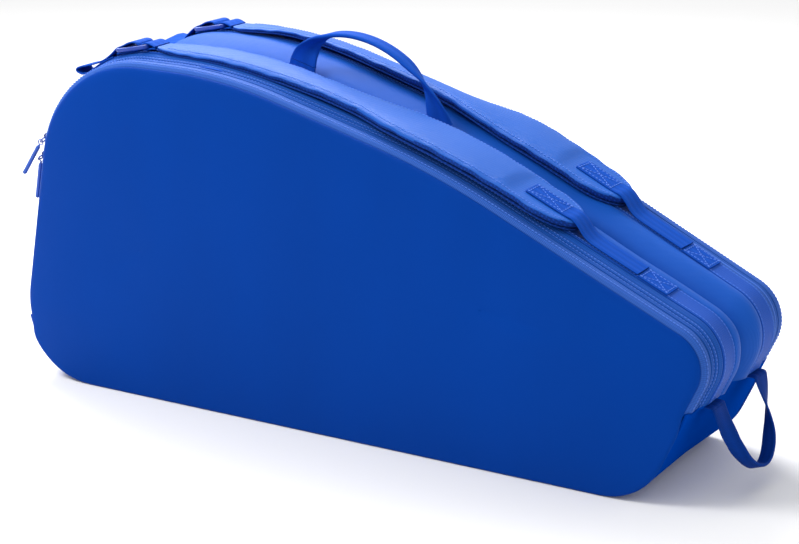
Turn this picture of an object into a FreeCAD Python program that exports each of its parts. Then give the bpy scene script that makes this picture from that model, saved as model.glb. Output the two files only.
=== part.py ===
import FreeCAD, Part
import math
import os

import Sketcher

# Racket tournament bag with two zipped compartments side by side, in millimetres.
#
# The origin is on the surface that the bag stands on, under the middle of its body.
# +X runs along the bag to its narrow end, +Y from the front compartment to the rear
# one, and +Z up. The two compartments lie in a narrow V, so each half of the bag is
# drawn square to its own outer panel and then turned by the half angle of that V.
# Depths across the bag are measured inwards from the outer panel's face.

SIZES = [
    # side outline: six straight edges with rounded corners
    ("wide_foot_x", -379.5, "where the wide end's edge meets the foot line"),
    ("narrow_foot_x", 305.0, "where the narrow end's edge meets the foot line"),
    ("panel_height", 325.0, "foot line to the flat top edge"),
    ("wide_lean", 10.3, "wide end's lean from upright, degrees"),
    ("narrow_lean", 24.4, "narrow end's lean from upright, degrees"),
    ("top_run", 194.0, "wide end's top corner to the shoulder"),
    ("shoulder_run", 223.0, "shoulder to the crest, along X"),
    ("shoulder_slope", 15.1, "fall of the shoulder, degrees"),
    ("nose_slope", 24.6, "fall of the top near the narrow end, degrees"),
    ("wide_foot_radius", 72.0, "rounding"),
    ("narrow_foot_radius", 56.0, "rounding"),
    ("nose_radius", 35.0, "rounding"),
    ("crest_radius", 800.0, "rounding"),
    ("shoulder_radius", 450.0, "rounding"),
    ("crown_radius", 118.0, "rounding of the wide end's top corner"),
    # across the bag
    ("half_depth", 101.8, "mid plane to the outer panel's face, at mid length"),
    ("half_taper", 1.83, "turn of each half, degrees"),
    ("cover_wall", 5.0, "depth of the outer panel's turned edge"),
    ("zip_line", 17.0, "depth of the zip's centre line"),
    ("zip_slit", 1.6, "gap between the two zip tapes"),
    ("strip_edge", 35.0, "depth where the woven gusset strip starts"),
    ("strip_width", 25.0, "woven gusset strip"),
    ("zip_rise", 4.0, "height of the flat zip tapes over the panel's edge"),
    ("zip_flat", 7.0, "half width of the flat zip tapes"),
    ("strip_rise", 8.4, "height of the gusset strip over the panel's edge"),
    ("valley_depth", 22.0, "depth of the valley between the compartments"),
    ("wide_seam_height", 60.0, "top of the base panel at the wide end"),
    ("narrow_seam_height", 90.0, "top of the base panel at the narrow end"),
    # cloth and boards
    ("shell_thickness", 2.0, "laminated shell cloth"),
    ("tape_thickness", 1.2, "zip tape"),
    ("base_thickness", 3.0, "base panel"),
    ("base_rise", 4.0, "how far the base panel stands out past the outline"),
    ("board_thickness", 2.5, "base stiffener"),
    ("board_inset", 12.0, "outer panel's face to the base stiffener"),
    ("divider_thickness", 4.0, "padded divider"),
    ("foam_thickness", 5.0, "foam in the outer panel"),
    ("lining_thickness", 1.2, "lining of the outer panel"),
    ("panel_edge_bevel", 2.0, "bevel of the outer panel's edge"),
    ("seam_clearance", 0.3, "gap between neighbouring layers"),
    ("welt_radius", 2.5, "piping that each cover folds down on"),
    ("fold_clearance", 0.1, "gap between that piping and the cover"),
    # zip
    ("coil_width", 3.0, "one half of the zip's coil"),
    ("coil_thickness", 1.8, "zip coil"),
    ("slider_length", 12.0, "zip slider"),
    ("slider_width", 9.0, "zip slider"),
    ("slider_plate", 1.5, "thickness of the slider's plates"),
    ("slider_clearance", 0.5, "slider plates to tape and coil"),
    ("post_width", 1.0, "slider's post in the slit"),
    ("post_length", 4.0, "slider's post along the zip"),
    ("bridge_height", 5.8, "slider's bridge over its outer plate"),
    ("bridge_length", 6.0, "slider's bridge along the zip"),
    ("bridge_width", 3.0, "slider's bridge across the zip"),
    ("bridge_bore", 1.6, "radius of the hole that the pull ring runs in"),
    ("ring_radius", 4.6, "pull ring, to the middle of its wire"),
    ("ring_wire", 1.1, "middle of the pull ring's square wire to its edges"),
    ("tab_length", 42.0, "pull tab, from its eye"),
    ("tab_width", 4.4, "pull tab"),
    ("tab_thickness", 4.0, "pull tab"),
    ("tab_eye_bore", 2.2, "radius of the pull tab's eye"),
    ("tab_eye_width", 1.6, "thickness of the pull tab's eye"),
    ("tab_side", 2.4, "how far the tab sits to one side of its ring"),
    ("lower_slider_at", -7.5, "along the zip from the start of the top corner"),
    ("upper_slider_at", 11.0, "along the zip from the start of the top corner"),
    ("lower_ring_angle", 37.0, "ring's tilt away from the gusset, degrees"),
    ("upper_ring_angle", 28.0, "ring's tilt away from the gusset, degrees"),
    ("lower_tab_angle", 0.0, "tab's tilt away from the gusset, degrees"),
    ("upper_tab_angle", 18.0, "tab's tilt away from the gusset, degrees"),
    # shoulder straps
    ("strap_gap", 1.6, "gusset strip to the strap's mesh"),
    ("mesh_thickness", 1.2, "mesh under the strap"),
    ("pad_thickness", 10.5, "strap pad"),
    ("pad_thin_x", 20.0, "where the pad starts to thin toward the buckle"),
    ("pad_thin_angle", 1.5, "how fast the pad thins toward the buckle, degrees"),
    ("pad_start_x", -222.0, "buckle end of the pad"),
    ("pad_tip_x", 217.0, "tip of the pad"),
    ("pad_neck", 19.0, "half width of the pad's narrow part"),
    ("pad_body", 33.5, "half width of the pad's wide part"),
    ("pad_taper_run", 30.0, "pad's start to its full neck"),
    ("pad_neck_run", 217.0, "pad's start to where it begins to widen"),
    ("pad_outer_swell", 48.0, "run over which the pad's outer edge widens"),
    ("pad_inner_swell", 65.0, "run over which the pad's inner edge widens"),
    ("pad_body_run", 55.0, "run of the pad's wide part before it is straight"),
    ("pad_tip_run", 42.0, "length of the pad's rounded tip"),
    ("pad_edge_ease", 2.0, "how much the pad's edges draw in before a bend"),
    ("webbing_width", 25.0, "strap webbing"),
    ("webbing_thickness", 1.6, "strap webbing"),
    ("pad_box_x", 166.0, "start of the webbing sewn over the pad"),
    ("ramp_end_x", 236.0, "where the webbing comes down off the pad"),
    ("strap_hinge_x", 279.0, "where the webbing is sewn to the gusset strip"),
    ("strap_box_length", 28.0, "sewn end of the webbing"),
    ("lock_x", -249.0, "middle of the ladder lock"),
    ("lock_length", 38.0, "ladder lock"),
    ("lock_width", 33.0, "ladder lock"),
    ("lock_thickness", 5.0, "ladder lock"),
    ("lock_bar", 5.0, "ladder lock's end bars and middle bar"),
    ("lock_slot_width", 27.0, "ladder lock's slots"),
    ("lock_corner", 4.0, "ladder lock's outer corners"),
    ("lock_lift", 5.2, "gusset strip to the middle of the ladder lock"),
    ("lock_tilt", 12.0, "ladder lock's tilt, degrees"),
    ("anchor_x", -322.0, "far end of the lower webbing"),
    ("tail_end_x", -319.0, "free end of the tail"),
    ("tail_fold", 12.0, "length of the tail's sewn fold"),
    ("tail_lift", 11.0, "gusset strip to the tail's free end"),
    # carry handle
    ("handle_width", 30.0, "carry handle webbing"),
    ("handle_thickness", 2.2, "carry handle webbing"),
    ("handle_wide_x", -103.0, "handle's root nearer the wide end"),
    ("handle_narrow_x", 49.0, "handle's root nearer the narrow end"),
    ("handle_root_drop", 3.0, "handle's fold line under the gusset strip"),
    ("handle_rise", 55.0, "pull of the arch's curve over its wide root"),
    ("handle_lead", -12.5, "pull of the arch's curve along, at its wide root"),
    ("handle_reach", 72.5, "pull of the arch's curve over its narrow root"),
    ("handle_trail", 39.5, "pull of the arch's curve back, at its narrow root"),
    ("handle_grip", 17.0, "carry handle where its webbing is folded double"),
    ("fold_radius", 1.4, "bead that webbing folds on"),
    ("twist_share", 0.3, "share of a handle's length in which each end turns flat"),
    # grab loop at the narrow end
    ("loop_root_x", 357.0, "fold line of the grab loop"),
    ("loop_root_height", 88.0, "fold line of the grab loop"),
    ("loop_root_y", 46.0, "middle of each of the grab loop's roots"),
    ("loop_drop", 91.0, "reach of the loop's curve"),
    ("loop_draw", 8.0, "how far the loop draws in from its roots"),
    ("loop_grip", 14.0, "grab loop where its webbing is folded double"),
    ("loop_angle", 20.0, "loop's hang from upright, degrees"),
]

DOC = FreeCAD.newDocument("racket_bag")
UP = FreeCAD.Vector(0, 0, 1)
ACROSS = FreeCAD.Vector(0, 1, 0)
FRONT, REAR = -1, 1
SIDES = {"front": FRONT, "rear": REAR}
NODES = []


def make_sheet():
    """The spreadsheet that holds every driving dimension under its alias."""
    sheet = DOC.addObject("Spreadsheet::Sheet", "sizes")
    for row, (alias, value, meaning) in enumerate(SIZES, start=1):
        sheet.set(f"A{row}", alias.replace("_", " "))
        sheet.set(f"B{row}", str(value))
        sheet.set(f"C{row}", meaning)
        sheet.setAlias(f"B{row}", alias)
    DOC.recompute()
    return sheet


class Sizes:
    """The spreadsheet's values, read by alias."""

    def __init__(self, sheet):
        for alias, _, _ in SIZES:
            setattr(self, alias, float(sheet.get(alias)))


SHEET = make_sheet()
size = Sizes(SHEET)


def bind(thing, prop, expression):
    """Tie a property to the sheet; a word of the expression that is an alias reads its cell."""
    words = {alias for alias, _, _ in SIZES}
    tied = "".join(
        f"sizes.{word}" if word in words else word for word in split_words(expression)
    )
    thing.setExpression(prop, tied)


def split_words(text):
    """Cut an expression into names and the marks between them."""
    words, word = [], ""
    for letter in text:
        if letter.isalnum() or letter == "_":
            word += letter
            continue
        words += [word, letter]
        word = ""
    return words + [word]


# ---------------------------------------------------------------- the side outline


def edge_lines(out, down):
    """The outline's six edges, each as (point, direction), moved outwards by out.

    The foot line is moved by down instead. The edges run round the bag from the foot
    line, past the narrow end and over the top to the wide end.
    """
    foot = 2 * size.welt_radius + size.fold_clearance
    wide, narrow = math.radians(size.wide_lean), math.radians(size.narrow_lean)
    nose, shoulder = math.radians(size.nose_slope), math.radians(size.shoulder_slope)
    top = foot + size.panel_height
    corner_x = size.wide_foot_x + size.panel_height * math.tan(wide)
    shoulder_x = corner_x + size.top_run
    crest = (shoulder_x + size.shoulder_run, top - size.shoulder_run * math.tan(shoulder))
    lines = [
        ((0, foot), (1, 0), down),
        ((size.narrow_foot_x, foot), (math.sin(narrow), math.cos(narrow)), out),
        (crest, (-math.cos(nose), math.sin(nose)), out),
        ((shoulder_x, top), (-math.cos(shoulder), math.sin(shoulder)), out),
        ((corner_x, top), (-1, 0), out),
        ((size.wide_foot_x, foot), (-math.sin(wide), -math.cos(wide)), out),
    ]
    return [((x + dz * far, z - dx * far), (dx, dz)) for (x, z), (dx, dz), far in lines]


def meet(first, second):
    """Where two edges cross."""
    (x1, z1), (a1, b1) = first
    (x2, z2), (a2, b2) = second
    along = ((x2 - x1) * b2 - (z2 - z1) * a2) / (a1 * b2 - b1 * a2)
    return x1 + along * a1, z1 + along * b1


def rounded_corners(out, down):
    """Each corner's arc as (start, middle, end, centre) in X and Z, with its radius."""
    lines = edge_lines(out, down)
    radii = [
        size.narrow_foot_radius,
        size.nose_radius,
        size.crest_radius,
        size.shoulder_radius,
        size.crown_radius,
        size.wide_foot_radius,
    ]
    corners = []
    for before, after, radius in zip(lines, lines[1:] + lines[:1], radii):
        x, z = meet(before, after)
        (ax, az), (bx, bz) = before[1], after[1]
        radius += out
        turn = math.atan2(ax * bz - az * bx, ax * bx + az * bz)
        reach = radius * math.tan(turn / 2)
        start = x - ax * reach, z - az * reach
        end = x + bx * reach, z + bz * reach
        centre = start[0] - az * radius, start[1] + ax * radius
        gap = math.hypot(x - centre[0], z - centre[1])
        middle = [c + (p - c) * radius / gap for c, p in zip(centre, (x, z))]
        corners.append((start, middle, end, centre, radius))
    return corners


def outline(out, y, down=0.0):
    """The side outline as a closed wire at y, grown by out, with its foot let down."""
    corners = rounded_corners(out, down)
    edges = []
    for last, corner in zip(corners[-1:] + corners[:-1], corners):
        start, middle, end = (FreeCAD.Vector(x, y, z) for x, z in corner[:3])
        came_from = FreeCAD.Vector(last[2][0], y, last[2][1])
        edges.append(Part.LineSegment(came_from, start).toShape())
        edges.append(Part.Arc(start, middle, end).toShape())
    return Part.Wire(edges)


def at_depth(side, depth):
    """Y of a depth, in the half's own square frame."""
    return side * (size.half_depth - depth)


def half_turn(side):
    """The placement that turns a half about the upright line in its outer panel."""
    turn = FreeCAD.Rotation(UP, -side * size.half_taper)
    return FreeCAD.Placement(
        FreeCAD.Vector(0, 0, 0), turn, FreeCAD.Vector(0, side * size.half_depth, 0)
    )


def turned(shape, side):
    """A copy of a shape, turned into its half."""
    copy = shape.copy()
    copy.transformShape(half_turn(side).toMatrix())
    return copy


def slab(out, side, near, far, down=0.0):
    """The outline's whole area between two depths."""
    face = Part.Face(outline(out, at_depth(side, near), down))
    return face.extrude(FreeCAD.Vector(0, -side * (far - near), 0))


def block(side, stations, inset=0.0):
    """A solid whose outline grows from one (depth, rise) station to the next."""
    wires = [outline(rise - inset, at_depth(side, depth)) for depth, rise in stations]
    return Part.makeLoft(wires, True, True)


def band(side, stations, thickness):
    """A ring of cloth round the outline, through (depth, rise) stations."""
    return block(side, stations).cut(block(side, stations, thickness))


def seam_line():
    """The two points that the base panel's top seam runs through, in X and Z."""
    lean = math.tan(math.radians(size.narrow_lean))
    narrow_x = size.narrow_foot_x + size.narrow_seam_height * lean
    return (size.wide_foot_x, size.wide_seam_height), (narrow_x, size.narrow_seam_height)


def seam_side(above, drop=0.0):
    """A block of all that lies above, or below, the base panel's seam."""
    (x1, z1), (x2, z2) = seam_line()
    far = 4 * size.panel_height
    slope = (z2 - z1) / (x2 - x1)
    z_low, z_high = z1 - (far + x1) * slope - drop, z1 + (far - x1) * slope - drop
    end = far if above else -far
    corners = [(-far, z_low), (far, z_high), (far, end), (-far, end), (-far, z_low)]
    face = Part.Face(Part.makePolygon([FreeCAD.Vector(x, -far, z) for x, z in corners]))
    return face.extrude(FreeCAD.Vector(0, 2 * far, 0))


# ---------------------------------------------------------------- webbing


def cross_section(frame, width, thickness):
    """Corners of webbing at a frame of (middle, direction of the width, of the path)."""
    middle, across, along = frame
    thick = along.cross(across).normalize() * (thickness / 2)
    wide = FreeCAD.Vector(across).normalize() * (width / 2)
    upper = [middle + wide + thick, middle - wide + thick]
    return upper + [middle - wide - thick, middle + wide - thick]


def ribbon(frames, width, thickness):
    """Webbing lofted through frames."""
    sections = [cross_section(frame, width, thickness) for frame in frames]
    wires = [Part.makePolygon(corners + corners[:1]) for corners in sections]
    return Part.makeLoft(wires, True, True)


def bezier(points, share):
    """A point of a cubic Bezier curve, and its direction there."""
    rest = 1 - share
    weights = (rest**3, 3 * rest**2 * share, 3 * rest * share**2, share**3)
    slopes = (-3 * rest**2, 3 * rest * (rest - 2 * share))
    slopes += (3 * share * (2 * rest - share), 3 * share**2)
    where, along = FreeCAD.Vector(0, 0, 0), FreeCAD.Vector(0, 0, 0)
    for point, weight, slope in zip(points, weights, slopes):
        where += point * weight
        along += point * slope
    return where, along.normalize()


def faceted(sections):
    """A solid of flat facets that joins rings of corners to one another."""
    loops = [sections[0], sections[-1]]
    for ring, after in zip(sections, sections[1:]):
        for number, corner in enumerate(ring):
            last = number - 1
            loops.append([ring[last], corner, after[number]])
            loops.append([ring[last], after[number], after[last]])
    faces = [Part.Face(Part.makePolygon(loop + loop[:1])) for loop in loops]
    solid = Part.Solid(Part.makeShell(faces))
    if solid.Volume < 0:
        solid.reverse()
    return solid


def twisted_arch(points, fold, normal, width, grip, thickness, steps=20):
    """Webbing along a flat Bezier curve, turned flat and folded double between its ends."""
    sections = []
    for step in range(steps + 1):
        share = step / steps
        where, along = bezier(points, share)
        twist = min(share, 1 - share, size.twist_share) / size.twist_share
        end_fold = fold if share < 1 / 2 else -fold
        end_along = fold.cross(normal) if share < 1 / 2 else normal.cross(fold)
        if end_along.dot(along) < 0:
            end_along, end_fold = -end_along, -end_fold
        in_plane = (normal.cross(along) * twist + end_fold * (1 - twist)).normalize()
        along = (along * twist + end_along * (1 - twist)).normalize()
        turn = twist * math.pi / 2
        across = in_plane * math.cos(turn) + normal * math.sin(turn)
        wide = width + (grip - width) * twist
        frame = where, across, along
        sections.append(cross_section(frame, wide, thickness * (1 + twist)))
    return faceted(sections)


def strip_height(x, over):
    """Z of the surface that lies over the gusset strip by a given height, at x."""
    wire = outline(size.strip_rise + over, 0)
    probe = Part.makeLine(
        FreeCAD.Vector(x, 0, size.panel_height / 3), FreeCAD.Vector(x, 0, 2 * size.panel_height)
    )
    return wire.distToShape(probe)[1][0][0].z


def laid_webbing(points, side, width):
    """Webbing along the strip's middle; points are (x, height over the strip)."""
    y = at_depth(side, size.strip_edge + size.strip_width / 2)
    path = [FreeCAD.Vector(x, y, strip_height(x, over)) for x, over in points]
    frames = []
    for number, where in enumerate(path):
        before = path[max(number - 1, 0)]
        after = path[min(number + 1, len(path) - 1)]
        frames.append((where, ACROSS, (after - before).normalize()))
    return ribbon(frames, width, size.webbing_thickness)


def spread(first, last, count):
    """Evenly spaced values, both ends included."""
    return [first + (last - first) * number / (count - 1) for number in range(count)]


# ---------------------------------------------------------------- document objects


def add_node(label, shape, placement=None):
    """A sub-part whose shape is worked out here from the sheet."""
    node = DOC.addObject("Part::Feature", label)
    node.Label = label
    node.Shape = shape
    if placement:
        node.Placement = placement
    NODES.append(node)
    return node


def origin_plane(body, role):
    """One of a body's own origin planes."""
    return next(plane for plane in body.Origin.OriginFeatures if plane.Role == role)


def new_body(label, placement):
    """A PartDesign body that is a sub-part."""
    body = DOC.addObject("PartDesign::Body", label)
    body.Label = label
    body.Placement = placement
    NODES.append(body)
    return body


def new_sketch(body, name, role="XY_Plane", lift=None):
    """A sketch on one of the body's planes, lifted off it by an expression."""
    sketch = body.newObject("Sketcher::SketchObject", f"{body.Name}_{name}")
    sketch.AttachmentSupport = [(origin_plane(body, role), "")]
    sketch.MapMode = "FlatFace"
    if lift:
        bind(sketch, "AttachmentOffset.Base.z", lift)
    return sketch


def sketch_box(sketch, low_x, high_x, low_y, high_y):
    """A rectangle whose four sides are tied to expressions."""
    spots = [(-1.0, -1.0), (1.0, -1.0), (1.0, 1.0), (-1.0, 1.0)]
    first = len(sketch.Geometry)
    for start, end in zip(spots, spots[1:] + spots[:1]):
        line = Part.LineSegment(FreeCAD.Vector(*start, 0), FreeCAD.Vector(*end, 0))
        sketch.addGeometry(line)
    for number in range(4):
        sketch.addConstraint(
            Sketcher.Constraint("Coincident", first + number, 2, first + (number + 1) % 4, 1)
        )
    for number in (0, 2):
        sketch.addConstraint(Sketcher.Constraint("Horizontal", first + number))
        sketch.addConstraint(Sketcher.Constraint("Vertical", first + number + 1))
    ties = [("DistanceX", 1, low_x), ("DistanceY", 1, low_y)]
    ties += [("DistanceX", 2, high_x), ("DistanceY", 2, high_y)]
    for (kind, end, expression), line in zip(ties, (0, 0, 0, 1)):
        start_value = -1.0 if end == 1 else 1.0
        number = sketch.addConstraint(
            Sketcher.Constraint(kind, -1, 1, first + line, end, start_value)
        )
        bind(sketch, f"Constraints[{number}]", expression)


def sketch_circle(sketch, radius, height=None):
    """A circle on the sketch's upright axis, at its origin or at a given height."""
    circle = Part.Circle(FreeCAD.Vector(0, 0, 0), UP, 1.0)
    number = sketch.addGeometry(circle)
    if height:
        sketch.addConstraint(Sketcher.Constraint("PointOnObject", number, 3, -2))
        tie = sketch.addConstraint(Sketcher.Constraint("DistanceY", -1, 1, number, 3, 0.0))
        bind(sketch, f"Constraints[{tie}]", height)
    else:
        sketch.addConstraint(Sketcher.Constraint("Coincident", number, 3, -1, 1))
    tie = sketch.addConstraint(Sketcher.Constraint("Radius", number, 1.0))
    bind(sketch, f"Constraints[{tie}]", radius)


def add_pad(body, sketch, length, midplane=False):
    """A pad of a given length, or an equal amount both ways."""
    pad = body.newObject("PartDesign::Pad", f"{sketch.Name}_pad")
    pad.Profile = sketch
    pad.Midplane = midplane
    bind(pad, "Length", length)
    return pad


def add_pocket(body, sketch, length):
    """A pocket cut equally both ways from its sketch."""
    pocket = body.newObject("PartDesign::Pocket", f"{sketch.Name}_pocket")
    pocket.Profile = sketch
    pocket.Midplane = True
    bind(pocket, "Length", length)
    return pocket


def placed(where, x_axis, y_axis, z_axis):
    """A placement from a point and three square axes."""
    turn = FreeCAD.Rotation(x_axis, y_axis, z_axis, "ZXY")
    return FreeCAD.Placement(where, turn)


# ---------------------------------------------------------------- base and divider


def beside(side):
    """A block of all that lies on one side of the bag's middle plane."""
    far = 4 * size.panel_height
    room = Part.makeBox(2 * far, far, 2 * far)
    room.translate(FreeCAD.Vector(-far, 0 if side == REAR else -far, -far))
    return room


def across_bag(out, down, depth):
    """A solid with the outline's area, from one half's depth through to the other's."""
    halves = []
    for side in SIDES.values():
        half = turned(slab(out, side, depth, 2 * size.half_depth, down), side)
        halves.append(half.common(beside(side)))
    return halves[0].fuse(halves[1]).removeSplitter()


def make_base():
    """Base panel: it wraps up both rounded ends to the seam, with a ledge along it."""
    foot = 2 * size.welt_radius + size.fold_clearance
    outer = across_bag(size.base_rise, foot, size.cover_wall)
    inner_rise = size.base_rise - size.base_thickness
    inner = across_bag(inner_rise, foot - size.base_thickness, size.cover_wall)
    wrap = outer.cut(inner).common(seam_side(False))
    ledge = seam_ledge(inner_rise, foot)
    add_node("base_panel", ledge.fuse(wrap).removeSplitter())


def seam_ledge(inner_rise, foot):
    """What the gussets are sewn to: a lip under each, and the floor of the valley's ends."""
    slice_of_seam = seam_side(False).common(seam_side(True, size.base_thickness))
    strip_end = size.strip_edge + size.strip_width
    valley_floor = size.strip_rise - size.valley_depth - size.shell_thickness
    ledge = across_bag(size.base_rise, foot, strip_end)
    ledge = ledge.cut(across_bag(valley_floor, foot, strip_end - size.seam_clearance))
    ledge = ledge.cut(divider_wall())
    for side in SIDES.values():
        tape_edge = size.zip_line + size.zip_slit / 2
        stations = gusset_stations(tape_edge, strip_end)
        room = slab(inner_rise, side, 0.0, 2 * strip_end, foot - size.base_thickness)
        lip = block(side, stations).cut(room)
        ledge = ledge.fuse(turned(lip, side))
    return ledge.common(slice_of_seam)


def gusset_stations(near, far):
    """(depth, rise) stations of the gusset's surface between two depths."""
    bends = [
        (size.cover_wall, 0.0),
        (size.zip_line - size.zip_flat, size.zip_rise),
        (size.zip_line + size.zip_flat, size.zip_rise),
        (size.strip_edge, size.strip_rise),
        (size.strip_edge + size.strip_width, size.strip_rise),
    ]
    stations = []
    for (depth, rise), (next_depth, next_rise) in zip(bends, bends[1:]):
        slope = (next_rise - rise) / (next_depth - depth)
        for spot in (near, far):
            if depth < spot < next_depth:
                stations.append((spot, rise + slope * (spot - depth)))
    stations += [bend for bend in bends if near <= bend[0] <= far]
    return sorted(stations)


def make_welt(name, side):
    """Piping along the bottom of an outer panel, which the cover folds down on."""
    corners = rounded_corners(0.0, 0.0)
    low, high = corners[5][2][0], corners[0][0][0]
    welt = DOC.addObject("Part::Cylinder", f"{name}_hinge_welt")
    welt.Label = welt.Name
    bind(welt, "Radius", "welt_radius")
    welt.Height = high - low
    where = FreeCAD.Vector(low, at_depth(side, size.welt_radius), size.welt_radius)
    along = FreeCAD.Placement(where, FreeCAD.Rotation(UP, FreeCAD.Vector(1, 0, 0)))
    welt.Placement = half_turn(side).multiply(along)
    NODES.append(welt)


def divider_wall(out=None):
    """The divider's area inside the valley, or inside an outline grown by out."""
    half = size.divider_thickness / 2
    foot = 2 * size.welt_radius + size.fold_clearance - size.base_thickness
    valley = size.strip_rise - size.valley_depth
    rise = valley if out is None else out
    near, far = size.half_depth - half, size.half_depth + half
    return slab(rise, FRONT, near, far, foot - size.seam_clearance)


def make_divider():
    """Padded wall between the compartments, from the base up to the valley."""
    foot = 2 * size.welt_radius + size.fold_clearance - size.base_thickness
    rise = size.base_rise - size.base_thickness - size.seam_clearance
    lower = across_bag(rise, foot - size.seam_clearance, size.cover_wall)
    lower = lower.common(divider_wall(size.base_rise))
    lower = lower.common(seam_side(False, size.base_thickness))
    add_node("divider_panel", divider_wall().fuse(lower).removeSplitter())


def make_base_board(name, side):
    """Stiffener on the floor of one compartment."""
    corners = rounded_corners(0.0, 0.0)
    low = corners[5][2][0] + 2 * size.board_thickness
    high = corners[0][0][0] - 2 * size.board_thickness
    outer = at_depth(side, size.board_inset)
    spots = [FreeCAD.Vector(x, outer, size.base_thickness) for x in (low, high)]
    matrix = half_turn(side).toMatrix()
    outer_edge = [matrix.multiply(spot) for spot in spots]
    inner_y = side * (size.divider_thickness / 2 + size.seam_clearance)
    inner_edge = [FreeCAD.Vector(spot.x, inner_y, spot.z) for spot in reversed(outer_edge)]
    wire = Part.makePolygon(outer_edge + inner_edge + outer_edge[:1])
    add_node(f"{name}_base_board", Part.Face(wire).extrude(UP * size.board_thickness))


# ---------------------------------------------------------------- gussets


def make_gusset(name, side):
    """The cloth round one compartment: zip tape, woven strip and the roll to the valley."""
    above = seam_side(True)
    strip_end = size.strip_edge + size.strip_width
    bands = [
        ("gusset_tape", size.zip_line + size.zip_slit / 2, size.tape_thickness),
        ("gusset_trim", size.zip_line + size.zip_flat, size.tape_thickness),
        ("gusset_strip", size.strip_edge, size.shell_thickness),
    ]
    ends = [near for _, near, _ in bands[1:]] + [strip_end]
    for (label, near, thickness), far in zip(bands, ends):
        cloth = band(side, gusset_stations(near, far), thickness)
        add_node(f"{name}_{label}", cloth.common(above), half_turn(side))
    add_node(f"{name}_valley_gusset", valley_roll(side, strip_end).common(above))


def valley_roll(side, strip_end):
    """The smooth roll from the woven strip down to the valley, a quarter ellipse across."""
    skins = []
    for inset in (0.0, size.shell_thickness):
        wires = []
        for share in (0, math.sqrt(1 / 2), 1):
            drop = size.valley_depth * (1 - math.sqrt(1 - share**2))
            start, end = at_depth(side, strip_end), side * size.divider_thickness / 2
            wire = outline(size.strip_rise - drop - inset, start)
            square = FreeCAD.Rotation(UP, -side * size.half_taper * (1 - share))
            pivot = FreeCAD.Vector(0, side * size.half_depth * (1 - share), 0)
            slide = FreeCAD.Vector(0, (end - start) * share, 0)
            wire.translate(slide)
            turn = FreeCAD.Placement(FreeCAD.Vector(0, 0, 0), square, pivot)
            wire.transformShape(turn.toMatrix())
            wires.append(wire)
        skins.append(Part.makeLoft(wires, True, True))
    return skins[0].cut(skins[1])


# ---------------------------------------------------------------- zip


def coil_band(side, near, far):
    """One half of the zip's coil, sewn under its tape."""
    rise = size.zip_rise - size.tape_thickness
    return band(side, [(near, rise), (far, rise)], size.coil_thickness)


def make_zip_coils(name, side):
    """The two coil halves: one on the gusset and one on the cover."""
    above = seam_side(True)
    half_slit = size.zip_slit / 2
    fixed_near = size.zip_line + half_slit
    fixed = coil_band(side, fixed_near, fixed_near + size.coil_width)
    add_node(f"{name}_gusset_coil", fixed.common(above), half_turn(side))
    moving_far = size.zip_line - half_slit
    moving = coil_band(side, moving_far - size.coil_width, moving_far)
    add_node(f"{name}_cover_coil", moving.common(above), half_turn(side))


def track_frame(side, along):
    """Place and axes of the zip line, at a distance past the start of the top corner."""
    start, _, end, centre, radius = rounded_corners(size.zip_rise, 0.0)[4]
    wide = math.radians(size.wide_lean)
    lean = wide + max(along, 0.0) / radius
    up = FreeCAD.Vector(math.sin(lean), 0, math.cos(lean))
    outward = FreeCAD.Vector(-math.cos(lean), 0, math.sin(lean))
    y = at_depth(side, size.zip_line)
    where = FreeCAD.Vector(centre[0], y, centre[1]) + outward * radius
    where += up * min(along, 0.0)
    return half_turn(side).multiply(placed(where, up, ACROSS, outward))


def make_slider(label, placement):
    """Zip slider: two plates, the post between them and the bridge that holds the ring."""
    body = new_body(label, placement)
    half_length, half_width = "slider_length / 2", "slider_width / 2"
    outer = new_sketch(body, "outer", lift="slider_clearance")
    sketch_box(outer, f"-{half_length}", half_length, f"-{half_width}", half_width)
    add_pad(body, outer, "slider_plate")
    bridge = new_sketch(body, "bridge", lift="slider_clearance")
    half_bridge = "bridge_length / 2"
    sketch_box(
        bridge, f"-{half_bridge}", half_bridge, "-bridge_width / 2", "bridge_width / 2"
    )
    add_pad(body, bridge, "bridge_height + slider_plate")
    inner_top = "-(tape_thickness + coil_thickness + slider_clearance)"
    post = new_sketch(body, "post", lift=inner_top)
    sketch_box(post, "-post_length / 2", "post_length / 2", "-post_width / 2", "post_width / 2")
    post_height = "tape_thickness + coil_thickness + 2 * slider_clearance"
    add_pad(body, post, post_height)
    inner = new_sketch(body, "inner", lift=f"{inner_top} - slider_plate")
    sketch_box(inner, f"-{half_length}", half_length, f"-{half_width}", half_width)
    add_pad(body, inner, "slider_plate")
    bore = new_sketch(body, "bore", role="XZ_Plane")
    sketch_circle(bore, "bridge_bore", ring_axis_height())
    add_pocket(body, bore, "2 * bridge_width")
    return body


def ring_axis_height():
    """Expression for the bridge hole's height over the tape."""
    return "slider_clearance + slider_plate + bridge_height / 2"


def pull_frames(side, along, ring_angle, tab_angle, tab_side):
    """Placements of the slider, the ring's hinge and the tab's hinge."""
    track = track_frame(side, along)
    height = size.slider_clearance + size.slider_plate + size.bridge_height / 2
    swing = FreeCAD.Rotation(ACROSS, ring_angle)
    ring = track.multiply(FreeCAD.Placement(FreeCAD.Vector(0, 0, height), swing))
    reach = size.ring_radius + math.sqrt(size.ring_radius**2 - tab_side**2)
    hang = FreeCAD.Rotation(ACROSS, tab_angle - ring_angle)
    hook = FreeCAD.Vector(-reach, tab_side, 0)
    tab = ring.multiply(FreeCAD.Placement(hook, hang))
    return track, ring, tab


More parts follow.
